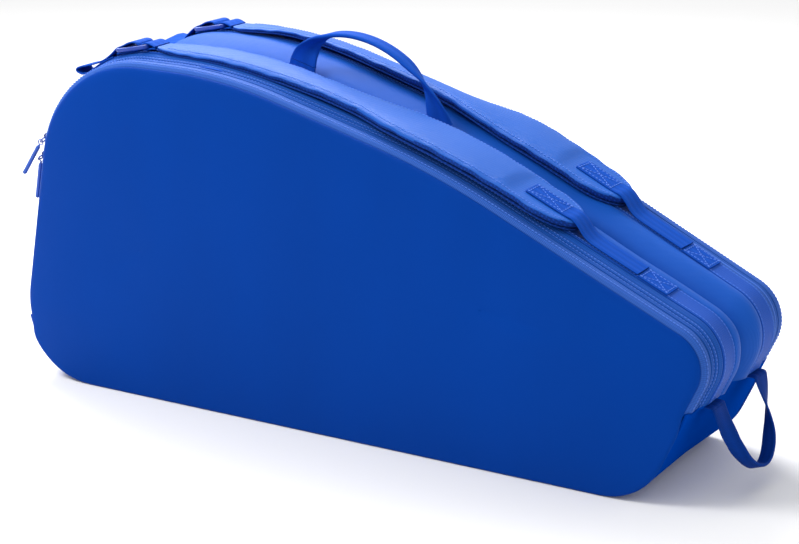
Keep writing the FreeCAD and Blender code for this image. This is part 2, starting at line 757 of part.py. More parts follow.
def make_ring(label, placement):
    """Square-wire ring that runs in the slider's bridge and hangs from it."""
    wire = DOC.addObject("Part::RegularPolygon", f"{label}_wire")
    wire.Polygon = 4
    upright = FreeCAD.Rotation(FreeCAD.Vector(1, 0, 0), 90)
    wire.Placement.Rotation = upright.multiply(FreeCAD.Rotation(UP, 45))
    bind(wire, "Circumradius", "ring_wire")
    bind(wire, "Placement.Base.x", "ring_radius")
    ring = DOC.addObject("Part::Revolution", label)
    ring.Label = label
    ring.Source = wire
    ring.Axis = UP
    ring.Angle = 360
    ring.Solid = True
    centre = FreeCAD.Placement(FreeCAD.Vector(-size.ring_radius, 0, 0), FreeCAD.Rotation())
    ring.Placement = placement.multiply(centre)
    NODES.append(ring)


def make_tab(label, placement):
    """Moulded pull tab: a thin eye on the ring, then a rounded rod."""
    body = new_body(label, placement)
    eye = new_sketch(body, "eye", role="XZ_Plane")
    sketch_circle(eye, "tab_eye_bore + ring_wire")
    add_pad(body, eye, "tab_eye_width", midplane=True)
    neck = new_sketch(body, "neck", role="XZ_Plane")
    sketch_box(
        neck,
        "-(tab_eye_bore + 3 * ring_wire)",
        "-(tab_eye_bore + ring_wire / 3)",
        "-tab_thickness / 4",
        "tab_thickness / 4",
    )
    add_pad(body, neck, "tab_eye_width", midplane=True)
    rod = new_sketch(body, "rod", role="XZ_Plane")
    sketch_box(
        rod,
        "-tab_length",
        "-(tab_eye_bore + 2 * ring_wire)",
        "-tab_thickness / 2",
        "tab_thickness / 2",
    )
    add_pad(body, rod, "tab_width", midplane=True)
    hole = new_sketch(body, "hole", role="XZ_Plane")
    sketch_circle(hole, "tab_eye_bore")
    add_pocket(body, hole, "2 * tab_width")
    return body


def make_pulls(name, side):
    """The two sliders that meet at the wide end, each with its ring and tab."""
    ends = [
        ("lower", size.lower_slider_at, size.lower_ring_angle, size.lower_tab_angle, -1),
        ("upper", size.upper_slider_at, size.upper_ring_angle, size.upper_tab_angle, 1),
    ]
    for end, along, ring_angle, tab_angle, hand in ends:
        shift = side * hand * size.tab_side
        track, ring, tab = pull_frames(side, along, ring_angle, tab_angle, shift)
        make_slider(f"{name}_{end}_slider", track)
        make_ring(f"{name}_{end}_pull_ring", ring)
        make_tab(f"{name}_{end}_pull_tab", tab)


# ---------------------------------------------------------------- covers


def make_cover(name, side):
    """Outer panel that folds down: shell, foam, lining and its half of the zip tape."""
    above = seam_side(True)
    shell = slab(0.0, side, 0.0, size.cover_wall)
    face_y = at_depth(side, 0.0)
    near_face = size.seam_clearance
    rim = [
        edge
        for edge in shell.Edges
        if max(abs(vertex.Y - face_y) for vertex in edge.Vertexes) < near_face
    ]
    shell = shell.makeChamfer(size.panel_edge_bevel, rim)
    wall = size.shell_thickness
    hollow = slab(-wall, side, wall, 2 * size.cover_wall, -wall)
    add_node(f"{name}_cover_shell", shell.cut(hollow), half_turn(side))
    inset = wall + size.seam_clearance
    foam_far = wall + size.foam_thickness
    foam = slab(-inset, side, wall, foam_far, -inset)
    add_node(f"{name}_cover_foam", foam, half_turn(side))
    lining = slab(-inset, side, foam_far, foam_far + size.lining_thickness, -inset)
    add_node(f"{name}_cover_lining", lining, half_turn(side))
    stations = gusset_stations(size.cover_wall, size.zip_line - size.zip_slit / 2)
    tape = band(side, stations, size.tape_thickness)
    add_node(f"{name}_cover_tape", tape.common(above), half_turn(side))


# ---------------------------------------------------------------- shoulder straps


def pad_plan(side):
    """The strap pad seen from above: narrow at the buckle, an S into the wide part."""
    middle = at_depth(side, size.strip_edge + size.strip_width / 2)
    start, tip = size.pad_start_x, size.pad_tip_x
    neck, body, end = size.pad_neck, size.pad_body, size.webbing_width / 2
    tapered, bend = start + size.pad_taper_run, start + size.pad_neck_run
    ease, tip_start = size.pad_edge_ease, tip - size.pad_tip_run
    edges = []
    for way, swell in ((side, size.pad_outer_swell), (-side, size.pad_inner_swell)):
        widened = bend + swell
        points = [(start, end), (tapered, neck - ease), ((tapered + bend) / 2, neck)]
        points += [(bend, neck + ease), (widened, body - ease)]
        points += [(widened + size.pad_body_run, body), (tip_start, body - ease)]
        spots = [FreeCAD.Vector(x, middle + way * half, 0) for x, half in points]
        curve = Part.BSplineCurve()
        curve.interpolate(spots)
        edges.append(curve.toShape())
        slant = math.sqrt(1 / 2)
        round_x, round_y = tip_start + size.pad_tip_run * slant, (body - ease) * slant
        round_spot = FreeCAD.Vector(round_x, middle + way * round_y, 0)
        edges.append(Part.Arc(spots[-1], round_spot, FreeCAD.Vector(tip, middle, 0)).toShape())
    ends = [FreeCAD.Vector(start, middle + way * end, 0) for way in (-side, side)]
    edges.append(Part.LineSegment(*ends).toShape())
    return Part.Wire(Part.__sortEdges__(edges))


def layer_over_strip(side, low, high):
    """All that lies between two heights over the gusset strip, across the half."""
    near, far = -size.half_depth, 2 * size.half_depth
    under = slab(size.strip_rise + low, side, 2 * near, 2 * far)
    return slab(size.strip_rise + high, side, near, far).cut(under)


def make_strap(name, side):
    """Shoulder strap: pad, mesh below it and the webbing to its sewn end."""
    place = half_turn(side)
    plan = Part.Face(pad_plan(side)).extrude(UP * 2 * size.panel_height)
    mesh_top = size.strap_gap + size.mesh_thickness
    pad_top = mesh_top + size.pad_thickness
    mesh = layer_over_strip(side, size.strap_gap, mesh_top).common(plan)
    pad = layer_over_strip(side, mesh_top, pad_top).common(plan)
    thinning = slab(size.strip_rise + pad_top, side, -size.half_depth, 2 * size.half_depth)
    turn_at = FreeCAD.Vector(size.pad_thin_x, 0, strip_height(size.pad_thin_x, pad_top))
    thinning.rotate(turn_at, FreeCAD.Vector(0, 1, 0), -size.pad_thin_angle)
    pad = pad.common(thinning)
    keep = Part.makeBox(2 * size.panel_height, 4 * size.half_depth, size.panel_height)
    low_corner = size.pad_start_x - size.webbing_width, -2 * size.half_depth
    keep.translate(FreeCAD.Vector(*low_corner, size.panel_height / 3))
    add_node(f"{name}_strap_mesh", mesh.common(keep), place)
    add_node(f"{name}_strap_pad", pad.common(keep), place)
    half = size.webbing_thickness / 2
    on_pad, on_strip = pad_top + half + size.seam_clearance, size.strap_gap + half
    tip_x = size.pad_tip_x + size.webbing_thickness
    points = [(x, on_pad) for x in spread(size.pad_box_x, tip_x, 5)]
    points += [(size.ramp_end_x, on_strip), (size.strap_hinge_x, on_strip)]
    webbing = laid_webbing(points, side, size.webbing_width)
    add_node(f"{name}_strap_webbing", webbing, place)
    box_end = size.strap_hinge_x + size.strap_box_length
    sewn = half + size.seam_clearance
    root = [(size.strap_hinge_x + size.seam_clearance, sewn), (box_end, sewn)]
    add_node(f"{name}_strap_anchor", laid_webbing(root, side, size.webbing_width), place)


def lock_placement(side):
    """Where the ladder lock lies, with its length along the strap."""
    y = at_depth(side, size.strip_edge + size.strip_width / 2)
    tilt = math.radians(size.lock_tilt)
    along = FreeCAD.Vector(math.cos(tilt), 0, math.sin(tilt))
    where = FreeCAD.Vector(size.lock_x, y, strip_height(size.lock_x, size.lock_lift))
    frame = placed(where, along, ACROSS, along.cross(ACROSS))
    return half_turn(side).multiply(frame)


def make_lock(name, side):
    """Ladder lock: a moulded frame with a middle bar between its two slots."""
    body = new_body(f"{name}_ladder_lock", lock_placement(side))
    frame = new_sketch(body, "frame")
    half_length, half_width = "lock_length / 2", "lock_width / 2"
    sketch_box(frame, f"-{half_length}", half_length, f"-{half_width}", half_width)
    pad = add_pad(body, frame, "lock_thickness", midplane=True)
    DOC.recompute()
    rounding = body.newObject("PartDesign::Fillet", f"{name}_lock_corners")
    upright = [
        f"Edge{number}"
        for number, edge in enumerate(pad.Shape.Edges, start=1)
        if abs(edge.tangentAt(edge.FirstParameter).z) > 0.99
    ]
    rounding.Base = (pad, upright)
    bind(rounding, "Radius", "lock_corner")
    half_slot = "lock_slot_width / 2"
    for end, sign in (("webbing", "-"), ("pad", "")):
        slot = new_sketch(body, f"{end}_slot")
        reach = [f"{sign}(lock_bar / 2)", f"{sign}(lock_length / 2 - lock_bar)"]
        low, high = reversed(reach) if sign else reach
        sketch_box(slot, low, high, f"-{half_slot}", half_slot)
        add_pocket(body, slot, "2 * lock_thickness")


def make_strap_ends(name, side):
    """Webbing at the buckle: the pad's loop, the lower webbing and the tail."""
    place = half_turn(side)
    tilt = math.radians(size.lock_tilt)
    half_lock = size.lock_length / 2 * math.cos(tilt) + size.lock_thickness / 2 * math.sin(tilt)
    rear, front = size.lock_x + half_lock, size.lock_x - half_lock
    thick = size.webbing_thickness
    low = size.strap_gap + size.mesh_thickness + thick / 2
    keep_off = size.seam_clearance
    loop = [(rear + keep_off, low), (size.pad_start_x - keep_off, low)]
    add_node(f"{name}_strap_loop", laid_webbing(loop, side, size.webbing_width), place)
    rest = thick / 2 + keep_off
    path = [(x, rest) for x in spread(size.anchor_x, front - keep_off, 9)]
    lower = laid_webbing(path, side, size.webbing_width)
    add_node(f"{name}_lower_webbing", lower, place)
    over = size.lock_lift + keep_off
    fold_start = size.tail_end_x + size.tail_fold
    rise = (size.tail_lift - over) / (front - size.tail_end_x)
    folded = spread(size.tail_end_x, fold_start, 2)
    single = folded + spread(fold_start, front - keep_off, 4)[1:]
    layers = []
    for stations, lift in ((single, over), (folded, over + thick - keep_off)):
        path = [(x, lift + rise * (front - x)) for x in stations]
        layers.append(laid_webbing(path, side, size.webbing_width))
    tail = layers[0].fuse(layers[1])
    add_node(f"{name}_strap_tail", tail, place)


# ---------------------------------------------------------------- handle and loop


def handle_line():
    """The two root points that the carry handle folds about."""
    over = -size.handle_root_drop
    spots = [size.handle_wide_x, size.handle_narrow_x]
    return [FreeCAD.Vector(x, 0, strip_height(x, over)) for x in spots]


def make_handle():
    """Carry handle: webbing that stands up out of the valley and turns flat to the hand."""
    wide, narrow = handle_line()
    along = (narrow - wide).normalize()
    over = FreeCAD.Vector(-along.z, 0, along.x)
    lift = over * (size.fold_radius + size.fold_clearance)
    points = [
        wide + lift,
        wide + lift + over * size.handle_rise + along * size.handle_lead,
        narrow + lift + over * size.handle_reach - along * size.handle_trail,
        narrow + lift,
    ]
    width, grip, thick = size.handle_width, size.handle_grip, size.handle_thickness
    add_node("carry_handle", twisted_arch(points, along, ACROSS, width, grip, thick))
    roots = []
    for root in (wide, narrow):
        start = root - along * (size.handle_width / 2)
        bead = Part.makeCylinder(size.fold_radius, size.handle_width, start, along)
        depth = size.valley_depth - size.handle_root_drop + size.shell_thickness
        frames = [(root, along, over), (root - over * depth, along, over)]
        stem = ribbon(frames, size.handle_width, size.handle_thickness)
        half = size.divider_thickness / 2
        valley = size.strip_rise - size.valley_depth
        stem = stem.cut(slab(valley, FRONT, size.half_depth - half, size.half_depth + half))
        roots.append(bead.fuse(stem))
    add_node("carry_handle_roots", Part.makeCompound(roots))


def make_loop():
    """Grab loop at the narrow end, twisted a quarter turn in each leg."""
    hang = math.radians(size.loop_angle)
    down = FreeCAD.Vector(math.sin(hang), 0, -math.cos(hang))
    normal = ACROSS.cross(down)
    root = FreeCAD.Vector(size.loop_root_x, 0, size.loop_root_height)
    root += down * (size.fold_radius + size.fold_clearance)
    half, drawn = size.loop_root_y, size.loop_root_y - size.loop_draw
    points = [
        root - ACROSS * half,
        root - ACROSS * drawn + down * size.loop_drop,
        root + ACROSS * drawn + down * size.loop_drop,
        root + ACROSS * half,
    ]
    thick, width, grip = size.webbing_thickness, size.webbing_width, size.loop_grip
    add_node("grab_loop", twisted_arch(points, ACROSS, normal, width, grip, thick))
    base = next(node for node in NODES if node.Label == "base_panel").Shape
    roots = []
    for sign in (-1, 1):
        y = sign * half - width / 2
        spot = FreeCAD.Vector(size.loop_root_x, y, size.loop_root_height)
        bead = Part.makeCylinder(size.fold_radius, width, spot, ACROSS)
        reach = 4 * size.base_thickness
        stub = Part.makeBox(reach, width, thick)
        stub.translate(spot - FreeCAD.Vector(reach, 0, thick / 2))
        pieces = stub.cut(base).Solids
        roots.append(bead.fuse(max(pieces, key=lambda piece: piece.BoundBox.XMax)))
    add_node("grab_loop_roots", Part.makeCompound(roots))


# ---------------------------------------------------------------- build and export


def build():
    """Make every sub-part."""
    make_base()
    make_divider()
    for name, side in SIDES.items():
        make_base_board(name, side)
        make_welt(name, side)
        make_gusset(name, side)
        make_zip_coils(name, side)
        make_cover(name, side)
        make_pulls(name, side)
        make_strap(name, side)
        make_lock(name, side)
        make_strap_ends(name, side)
    make_handle()
    make_loop()
    DOC.recompute()


def check():
    """Stop if any object failed or any sub-part isn't a sound solid."""
    for thing in DOC.Objects:
        if {"Invalid", "Error"} & set(thing.State):
            raise RuntimeError(f"{thing.Label} failed: {thing.State}")
    for node in NODES:
        shape = node.Shape
        if shape.isNull() or not shape.isValid() or not shape.Solids:
            raise RuntimeError(f"{node.Label} has no sound solid")


def export():
    """Write each sub-part to its own STEP file."""
    os.makedirs("parts", exist_ok=True)
    for node in NODES:
        node.Shape.exportStep(os.path.join("parts", f"{node.Label}.step"))
        solids, volume = len(node.Shape.Solids), node.Shape.Volume
        print(f"{node.Label}: {solids} solid(s), {volume / 1000:.2f} cm3")


build()
check()
export()
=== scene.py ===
import math

import bmesh
import bpy
from bpy.props import FloatProperty, FloatVectorProperty, IntProperty, PointerProperty
from mathutils import Matrix, Vector


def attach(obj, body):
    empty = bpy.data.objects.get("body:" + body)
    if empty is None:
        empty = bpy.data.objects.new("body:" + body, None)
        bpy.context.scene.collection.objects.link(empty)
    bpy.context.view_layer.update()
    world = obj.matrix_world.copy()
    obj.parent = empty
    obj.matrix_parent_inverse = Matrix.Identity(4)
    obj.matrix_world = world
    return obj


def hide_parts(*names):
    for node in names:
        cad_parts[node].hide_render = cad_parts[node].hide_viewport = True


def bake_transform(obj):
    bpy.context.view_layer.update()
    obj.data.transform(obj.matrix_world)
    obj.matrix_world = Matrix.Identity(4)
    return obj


bl_info = {
    "name": "Racket Tournament Bag",
    "version": (1, 0, 0),
    "blender": (4, 5, 0),
    "location": "View3D > Sidebar > Racket Bag",
    "description": "Dresses a two-compartment racket bag in cloth, webbing, zips and buckles",
    "category": "Object",
}

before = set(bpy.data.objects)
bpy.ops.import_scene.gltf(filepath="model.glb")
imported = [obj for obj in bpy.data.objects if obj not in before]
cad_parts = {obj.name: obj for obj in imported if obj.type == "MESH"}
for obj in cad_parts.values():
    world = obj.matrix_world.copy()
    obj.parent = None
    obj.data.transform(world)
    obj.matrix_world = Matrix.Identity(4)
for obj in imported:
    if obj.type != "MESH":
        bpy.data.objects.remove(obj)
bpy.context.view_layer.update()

# Measures of the bag in millimetres, the same as its solids are built to, but for the
# handle, whose wide root leans a little less. Each half is drawn square to its own outer
# panel: X along the bag, depth inwards from that panel's face, and rise outwards from the
# panel's outline.
SIDES = {"front": -1, "rear": 1}
WIDE_FOOT_X, NARROW_FOOT_X = -379.5, 305.0
PANEL_HEIGHT = 325.0
WIDE_LEAN, NARROW_LEAN = math.radians(10.3), math.radians(24.4)
TOP_RUN, SHOULDER_RUN = 194.0, 223.0
SHOULDER_SLOPE, NOSE_SLOPE = math.radians(15.1), math.radians(24.6)
RADII = [56.0, 35.0, 800.0, 450.0, 118.0, 72.0]
HALF_DEPTH = 101.8
HALF_TAPER = math.radians(1.83)
GAP = 0.1
WELT_RADIUS, CORD_RADIUS = 2.5, 1.8
FOOT = 2 * WELT_RADIUS + GAP
BASE_THICKNESS, BASE_RISE = 3.0, 4.0
COVER_WALL, ZIP_LINE = 5.0, 17.0
ZIP_RISE, STRIP_RISE, VALLEY_DEPTH = 4.0, 8.4, 22.0
STRIP_EDGE, STRIP_WIDTH = 35.0, 25.0
STRIP_MIDDLE = STRIP_EDGE + STRIP_WIDTH / 2
DIVIDER_HALF = 2.0
WIDE_SEAM_HEIGHT, NARROW_SEAM_HEIGHT = 60.0, 90.0
TAPE_THICKNESS, SHELL_THICKNESS, FOAM_THICKNESS = 1.2, 2.0, 5.0
PAD_START, PAD_TIP = -222.0, 217.0
PAD_LOW, PAD_THICKNESS = 2.8, 10.5
PAD_THIN_X, PAD_THIN_ANGLE = 20.0, math.radians(1.5)
PAD_BOX_X = 166.0
HINGE_X, BOX_LENGTH = 279.0, 28.0
WEBBING_WIDTH, WEBBING_THICKNESS = 25.0, 1.6
LOCK_X, LOCK_LENGTH, LOCK_WIDTH = -249.0, 38.0, 33.0
LOCK_LIFT, LOCK_TILT = 5.2, math.radians(12.0)
ANCHOR_X = -322.0
SLIDER_PLATE = 1.5
RING_RADIUS, RING_HEIGHT = 4.6, 4.9
HANDLE_WIDTH, HANDLE_GRIP, HANDLE_THICKNESS = 30.0, 17.0, 2.2
HANDLE_X, HANDLE_ROOT_DROP = (-103.0, 49.0), 3.0
HANDLE_PULLS = ((55.0, -3.0), (72.5, -39.5))
LOOP_ROOT_X, LOOP_ROOT_HEIGHT, LOOP_ROOT_Y = 357.0, 88.0, 46.0
LOOP_DROP, LOOP_DRAW, LOOP_GRIP = 91.0, 8.0, 14.0
LOOP_ANGLE = math.radians(20.0)
ROOT_BEAD = 1.4

# How the cloth is laid over those solids: pieces that end at the base panel's seam are drawn
# past it and cut, and flat pieces are rings that close in on a line along their middle, the
# spine. Stations are points of the outline with the direction outwards there.
SEAM_SPARE, STITCH_SPARE, COIL_SPARE = 14.0, -3.0, -1.5
SPINE_LOW, SPINE_HIGH, SPINE_Z = -215.0, 150.0, 150.0
CLOTH_PRESSURE = 4.0
STATION_PITCH, STATION_TURN = 9, math.radians(5)

X_AXIS, Y_AXIS, Z_AXIS = [Vector(axis) for axis in Matrix.Identity(3)]


def linear(code):
    """A hex sRGB colour as the linear values that Blender works in."""
    channels = [int(code[at : at + 2], 16) / 255 for at in (0, 2, 4)]
    return tuple(c / 12.92 if c <= 0.04045 else ((c + 0.055) / 1.055) ** 2.4 for c in channels)


def colour_property(name, description, code):
    """A colour that the sidebar shows as a swatch."""
    return FloatVectorProperty(
        name=name, description=description, subtype="COLOR", size=3, min=0, max=1,
        default=linear(code),
    )


def size_property(name, description, default):
    """A length in metres."""
    return FloatProperty(
        name=name, description=description, default=default, min=0.0, unit="LENGTH"
    )


class BagColours(bpy.types.PropertyGroup):
    """Colours of the bag's cloth, webbing and fittings."""

    panel: colour_property("Panels", "Smooth polyester of the two outer panels", "00378E")
    roll: colour_property("Rolls", "Satin polyester of the gussets' inner rolls", "0F4EAC")
    strip: colour_property("Woven strips", "Coarse woven strip round each gusset", "1048A8")
    # The panel's zip tape is set lighter than the gusset's tape: partly its own colour, partly a
    # painted highlight along the panel's edge.
    tape: colour_property("Zip tapes", "Ribbed tape on the panel's side of each zip", "2856AC")
    # The gusset's tape is set darker than the panel's tape: painted shade where the straps lie
    # over it.
    shaded_side_tape: colour_property("Gusset tapes", "Ribbed tape on the gusset's side", "124CA4")
    coil: colour_property("Zip coils", "Nylon coils under the tapes", "041C5A")
    webbing: colour_property("Webbing", "Strap, handle and loop webbing", "1046A6")
    # The grab loop's webbing is a darker copy of the strap webbing: painted shade on the loop that
    # hangs at the narrow end.
    loop: colour_property("Grab loop", "Webbing of the loop at the narrow end", "06307E")
    strap: colour_property("Strap cloth", "Satin polyester over the shoulder straps", "1054B2")
    mesh: colour_property("Spacer mesh", "Mesh under and round the shoulder straps", "0A3484")
    base: colour_property("Base", "Laminated cloth of the base panel", "003A9A")
    thread: colour_property("Thread", "Sewing thread", "4474D6")
    plastic: colour_property("Buckles", "Moulded acetal of the ladder locks", "0E3C9A")
    metal: colour_property("Zip sliders", "Painted zinc of the sliders and rings", "0E3890")
    pull: colour_property("Pull tabs", "Soft rubber of the pull tabs", "1C4CA8")
    lining: colour_property("Lining", "Lining of the compartments", "102A66")
    board: colour_property("Base boards", "Stiffeners on the bag's floor", "2B2E36")
    floor: colour_property("Floor", "Studio floor", "F0F0F0")


class BagSizes(bpy.types.PropertyGroup):
    """Sizes of what repeats or swells on the bag."""

    stitch_pitch: size_property("Stitch pitch", "Start of one stitch to the next", 0.0036)
    stitch_length: size_property("Stitch length", "Visible thread of one stitch", 0.0027)
    thread_radius: size_property("Thread radius", "Half the thread's thickness", 0.00042)
    coil_pitch: size_property("Coil pitch", "One turn of the zip's coil", 0.0021)
    panel_swell: size_property("Panel swell", "Most that a panel's cloth may move", 0.0035)
    strap_swell: size_property("Strap swell", "Most that a strap's cloth may move", 0.004)
    swell_steps: IntProperty(
        name="Swell steps", description="Steps of the cloth solver", default=20, min=2
    )


# ---------------------------------------------------------------- outline and places


def edge_lines(out, down):
    """The outline's six edges as (point, direction), moved outwards; the foot by down."""
    top = FOOT + PANEL_HEIGHT
    corner_x = WIDE_FOOT_X + PANEL_HEIGHT * math.tan(WIDE_LEAN)
    shoulder_x = corner_x + TOP_RUN
    crest = (shoulder_x + SHOULDER_RUN, top - SHOULDER_RUN * math.tan(SHOULDER_SLOPE))
    lines = [
        ((0, FOOT), (1, 0), down),
        ((NARROW_FOOT_X, FOOT), (math.sin(NARROW_LEAN), math.cos(NARROW_LEAN)), out),
        (crest, (-math.cos(NOSE_SLOPE), math.sin(NOSE_SLOPE)), out),
        ((shoulder_x, top), (-math.cos(SHOULDER_SLOPE), math.sin(SHOULDER_SLOPE)), out),
        ((corner_x, top), (-1, 0), out),
        ((WIDE_FOOT_X, FOOT), (-math.sin(WIDE_LEAN), -math.cos(WIDE_LEAN)), out),
    ]
    return [((x + dz * far, z - dx * far), (dx, dz)) for (x, z), (dx, dz), far in lines]


def meet(first, second):
    """Where two edges cross."""
    (x1, z1), (a1, b1) = first
    (x2, z2), (a2, b2) = second
    along = ((x2 - x1) * b2 - (z2 - z1) * a2) / (a1 * b2 - b1 * a2)
    return x1 + along * a1, z1 + along * b1


def rounded_corners(out=0.0, down=0.0):
    """Each corner's arc as (start, end, centre, radius, first angle, turn)."""
    lines = edge_lines(out, down)
    corners = []
    for before, after, radius in zip(lines, lines[1:] + lines[:1], RADII):
        x, z = meet(before, after)
        (ax, az), (bx, bz) = before[1], after[1]
        radius += out
        turn = math.atan2(ax * bz - az * bx, ax * bx + az * bz)
        reach = radius * math.tan(turn / 2)
        start = (x - ax * reach, z - az * reach)
        end = (x + bx * reach, z + bz * reach)
        centre = (start[0] - az * radius, start[1] + ax * radius)
        corners.append((start, end, centre, radius, math.atan2(-ax, az), turn))
    return corners


def stretch_counts():
    """How many steps each straight run and the bend after it are cut into."""
    corners = rounded_corners()
    counts = []
    for last, corner in zip(corners[-1:] + corners[:-1], corners):
        flat = math.dist(last[1], corner[0])
        turn = abs(corner[5])
        bent = max(corner[3] * turn / STATION_PITCH, turn / STATION_TURN)
        counts.append((max(2, round(flat / STATION_PITCH)), max(3, round(bent))))
    return counts


STEPS = stretch_counts()


def ring_of_stations(out=0.0, down=0.0):
    """The whole outline as (x, z, outward x, outward z), from the foot line round."""
    corners = rounded_corners(out, down)
    ring = []
    for last, corner, (flat, bent) in zip(corners[-1:] + corners[:-1], corners, STEPS):
        start, _, centre, radius, first, turn = corner
        came = last[1]
        facing = (math.cos(first), math.sin(first))
        for step in range(flat):
            share = step / flat
            x = came[0] + (start[0] - came[0]) * share
            z = came[1] + (start[1] - came[1]) * share
            ring.append((x, z, *facing))
        for step in range(bent):
            angle = first + turn * step / bent
            facing_now = (math.cos(angle), math.sin(angle))
            spot = [c + radius * f for c, f in zip(centre, facing_now)]
            ring.append((*spot, *facing_now))
    return ring


def seam_height(x):
    """Height of the base panel's top seam at x."""
    narrow_x = NARROW_FOOT_X + NARROW_SEAM_HEIGHT * math.tan(NARROW_LEAN)
    share = (x - WIDE_FOOT_X) / (narrow_x - WIDE_FOOT_X)
    return WIDE_SEAM_HEIGHT + (NARROW_SEAM_HEIGHT - WIDE_SEAM_HEIGHT) * share


def over_the_top(spare=SEAM_SPARE):
    """The outline's stations above the seam, from the narrow end over to the wide one."""
    return [spot for spot in ring_of_stations() if spot[1] > seam_height(spot[0]) - spare]


def in_half(side, x, depth, z):
    """A point of a half's own square frame, in the bag's frame and in metres."""
    turn = -side * HALF_TAPER
    pivot, across = side * HALF_DEPTH, -side * depth
    turned_x = x * math.cos(turn) - across * math.sin(turn)
    turned_y = pivot + x * math.sin(turn) + across * math.cos(turn)
    return Vector((turned_x, turned_y, z)) / 1000


def raised(side, station, depth, rise):
    """A point at a depth and a rise over a station of a half's outline, in metres."""
    x, z, nx, nz = station
    return in_half(side, x + nx * rise, depth, z + nz * rise)


def drawn_in(station, rise, share, spine_z):
    """A station's (x, z) moved outwards, and then by a share of its way to the spine."""
    x, z, nx, nz = station
    x, z = x + nx * rise, z + nz * rise
    home_x = min(max(x, SPINE_LOW), SPINE_HIGH)
    return x + (home_x - x) * share, z + (spine_z - z) * share


def middle_depth(x):
    """Depth at which a half reaches the bag's middle plane."""
    return (HALF_DEPTH - x * math.sin(HALF_TAPER)) / math.cos(HALF_TAPER)


def in_valley(side, x, z, share):
    """A point of the roll between the woven strip and the divider, in metres."""
    turn = -side * HALF_TAPER * (1 - share)
    pivot = side * HALF_DEPTH * (1 - share)
    start = side * (HALF_DEPTH - STRIP_EDGE - STRIP_WIDTH)
    across = start + (side * DIVIDER_HALF - start) * share - pivot
    turned_x = x * math.cos(turn) - across * math.sin(turn)
    turned_y = pivot + x * math.sin(turn) + across * math.cos(turn)
    return Vector((turned_x, turned_y, z)) / 1000


def station_at(x, spots):
    """The station over a given x on the bag's top, between the two nearest ones."""
    top = [spot for spot in spots if spot[3] > 0.05]
    for first, second in zip(top, top[1:]):
        if min(first[0], second[0]) <= x <= max(first[0], second[0]):
            share = (x - first[0]) / (second[0] - first[0])
            mixed = [a + (b - a) * share for a, b in zip(first, second)]
            size = math.hypot(mixed[2], mixed[3])
            return mixed[0], mixed[1], mixed[2] / size, mixed[3] / size
    raise ValueError(f"no part of the top lies over {x}")


def strip_height(x, over):
    """Z of what lies over the woven strip by a given height, at x."""
    return station_at(x, ring_of_stations(STRIP_RISE + over))[1]


def eased(value, low, high):
    """From 0 to 1 as a value goes from low to high, with soft ends."""
    share = min(1.0, max(0.0, (value - low) / (high - low)))
    return share * share * (3 - 2 * share)


def round_turn(count):
    """The cosine and sine of each of a number of even steps round one turn."""
    angles = [2 * math.pi * step / count for step in range(count)]
    return [(math.cos(angle), math.sin(angle)) for angle in angles]


def smooth_run(points, steps):
    """A smooth run through points of any number of values, both ends included."""
    padded = [points[0]] + list(points) + [points[-1]]
    run = []
    for a, b, c, d in zip(padded, padded[1:], padded[2:], padded[3:]):
        for step in range(steps):
            t = step / steps
            run.append(
                tuple(
                    0.5 * (2 * q + (r - p) * t + (2 * p - 5 * q + 4 * r - s) * t * t
                           + (3 * q - p - 3 * r + s) * t**3)
                    for p, q, r, s in zip(a, b, c, d)
                )
            )
    return run + [tuple(points[-1])]


def with_normals(line):
    """Each (x, z) point of a line, with the direction square to the line there."""
    spots = []
    for number, (x, z) in enumerate(line):
        before, after = line[max(number - 1, 0)], line[min(number + 1, len(line) - 1)]
        dx, dz = after[0] - before[0], after[1] - before[1]
        size = math.hypot(dx, dz)
        spots.append((x, z, -dz / size, dx / size))
    return spots


# ---------------------------------------------------------------- meshes


def skin(rows, closed_rows=False, caps=True):
    """A tube of faces through rows of points, with its UV map in metres along and across."""
    mesh = bmesh.new()
    layer = mesh.loops.layers.uv.new("cloth")
    grid = [[mesh.verts.new(point) for point in row] for row in rows]
    count, width = len(rows), len(rows[0])
    middle = rows[count // 2]
    across, along = [0.0], [0.0]
    for first, second in zip(middle, middle[1:] + middle[:1]):
        across.append(across[-1] + (second - first).length)
    for first, second in zip(rows, rows[1:] + rows[:1]):
        along.append(along[-1] + (second[0] - first[0]).length)
    for row in range(count if closed_rows else count - 1):
        near, far = grid[row], grid[(row + 1) % count]
        for left in range(width):
            right = (left + 1) % width
            face = mesh.faces.new([near[left], near[right], far[right], far[left]])
            marks = [(row, left), (row, left + 1), (row + 1, left + 1), (row + 1, left)]
            for loop, (r, c) in zip(face.loops, marks):
                loop[layer].uv = (along[r], across[c])
    if caps and not closed_rows:
        mesh.faces.new(reversed(grid[0]))
        mesh.faces.new(grid[-1])
    mesh.faces.index_update()
    bmesh.ops.recalc_face_normals(mesh, faces=mesh.faces)
    return mesh


def close_holes(mesh, triangles=False):
    """Close every opening of a mesh, with one face each or with triangles."""
    rims = [edge for edge in mesh.edges if edge.is_boundary]
    bmesh.ops.holes_fill(mesh, edges=rims, sides=0)
    if triangles:
        bmesh.ops.triangulate(mesh, faces=[face for face in mesh.faces if len(face.verts) > 4])
    bmesh.ops.recalc_face_normals(mesh, faces=mesh.faces)


def clip_at_seam(mesh, lift=0.0, away=-1):
    """Cut off what lies below the base panel's seam, or above it where away is 1."""
    slope = (seam_height(100) - seam_height(0)) / 100
    bmesh.ops.bisect_plane(
        mesh,
        geom=list(mesh.verts) + list(mesh.edges) + list(mesh.faces),
        plane_co=Vector((0, 0, seam_height(0) + lift)) / 1000,
        plane_no=Vector((-away * slope, 0, away)).normalized(),
        clear_outer=True,
    )
    close_holes(mesh)


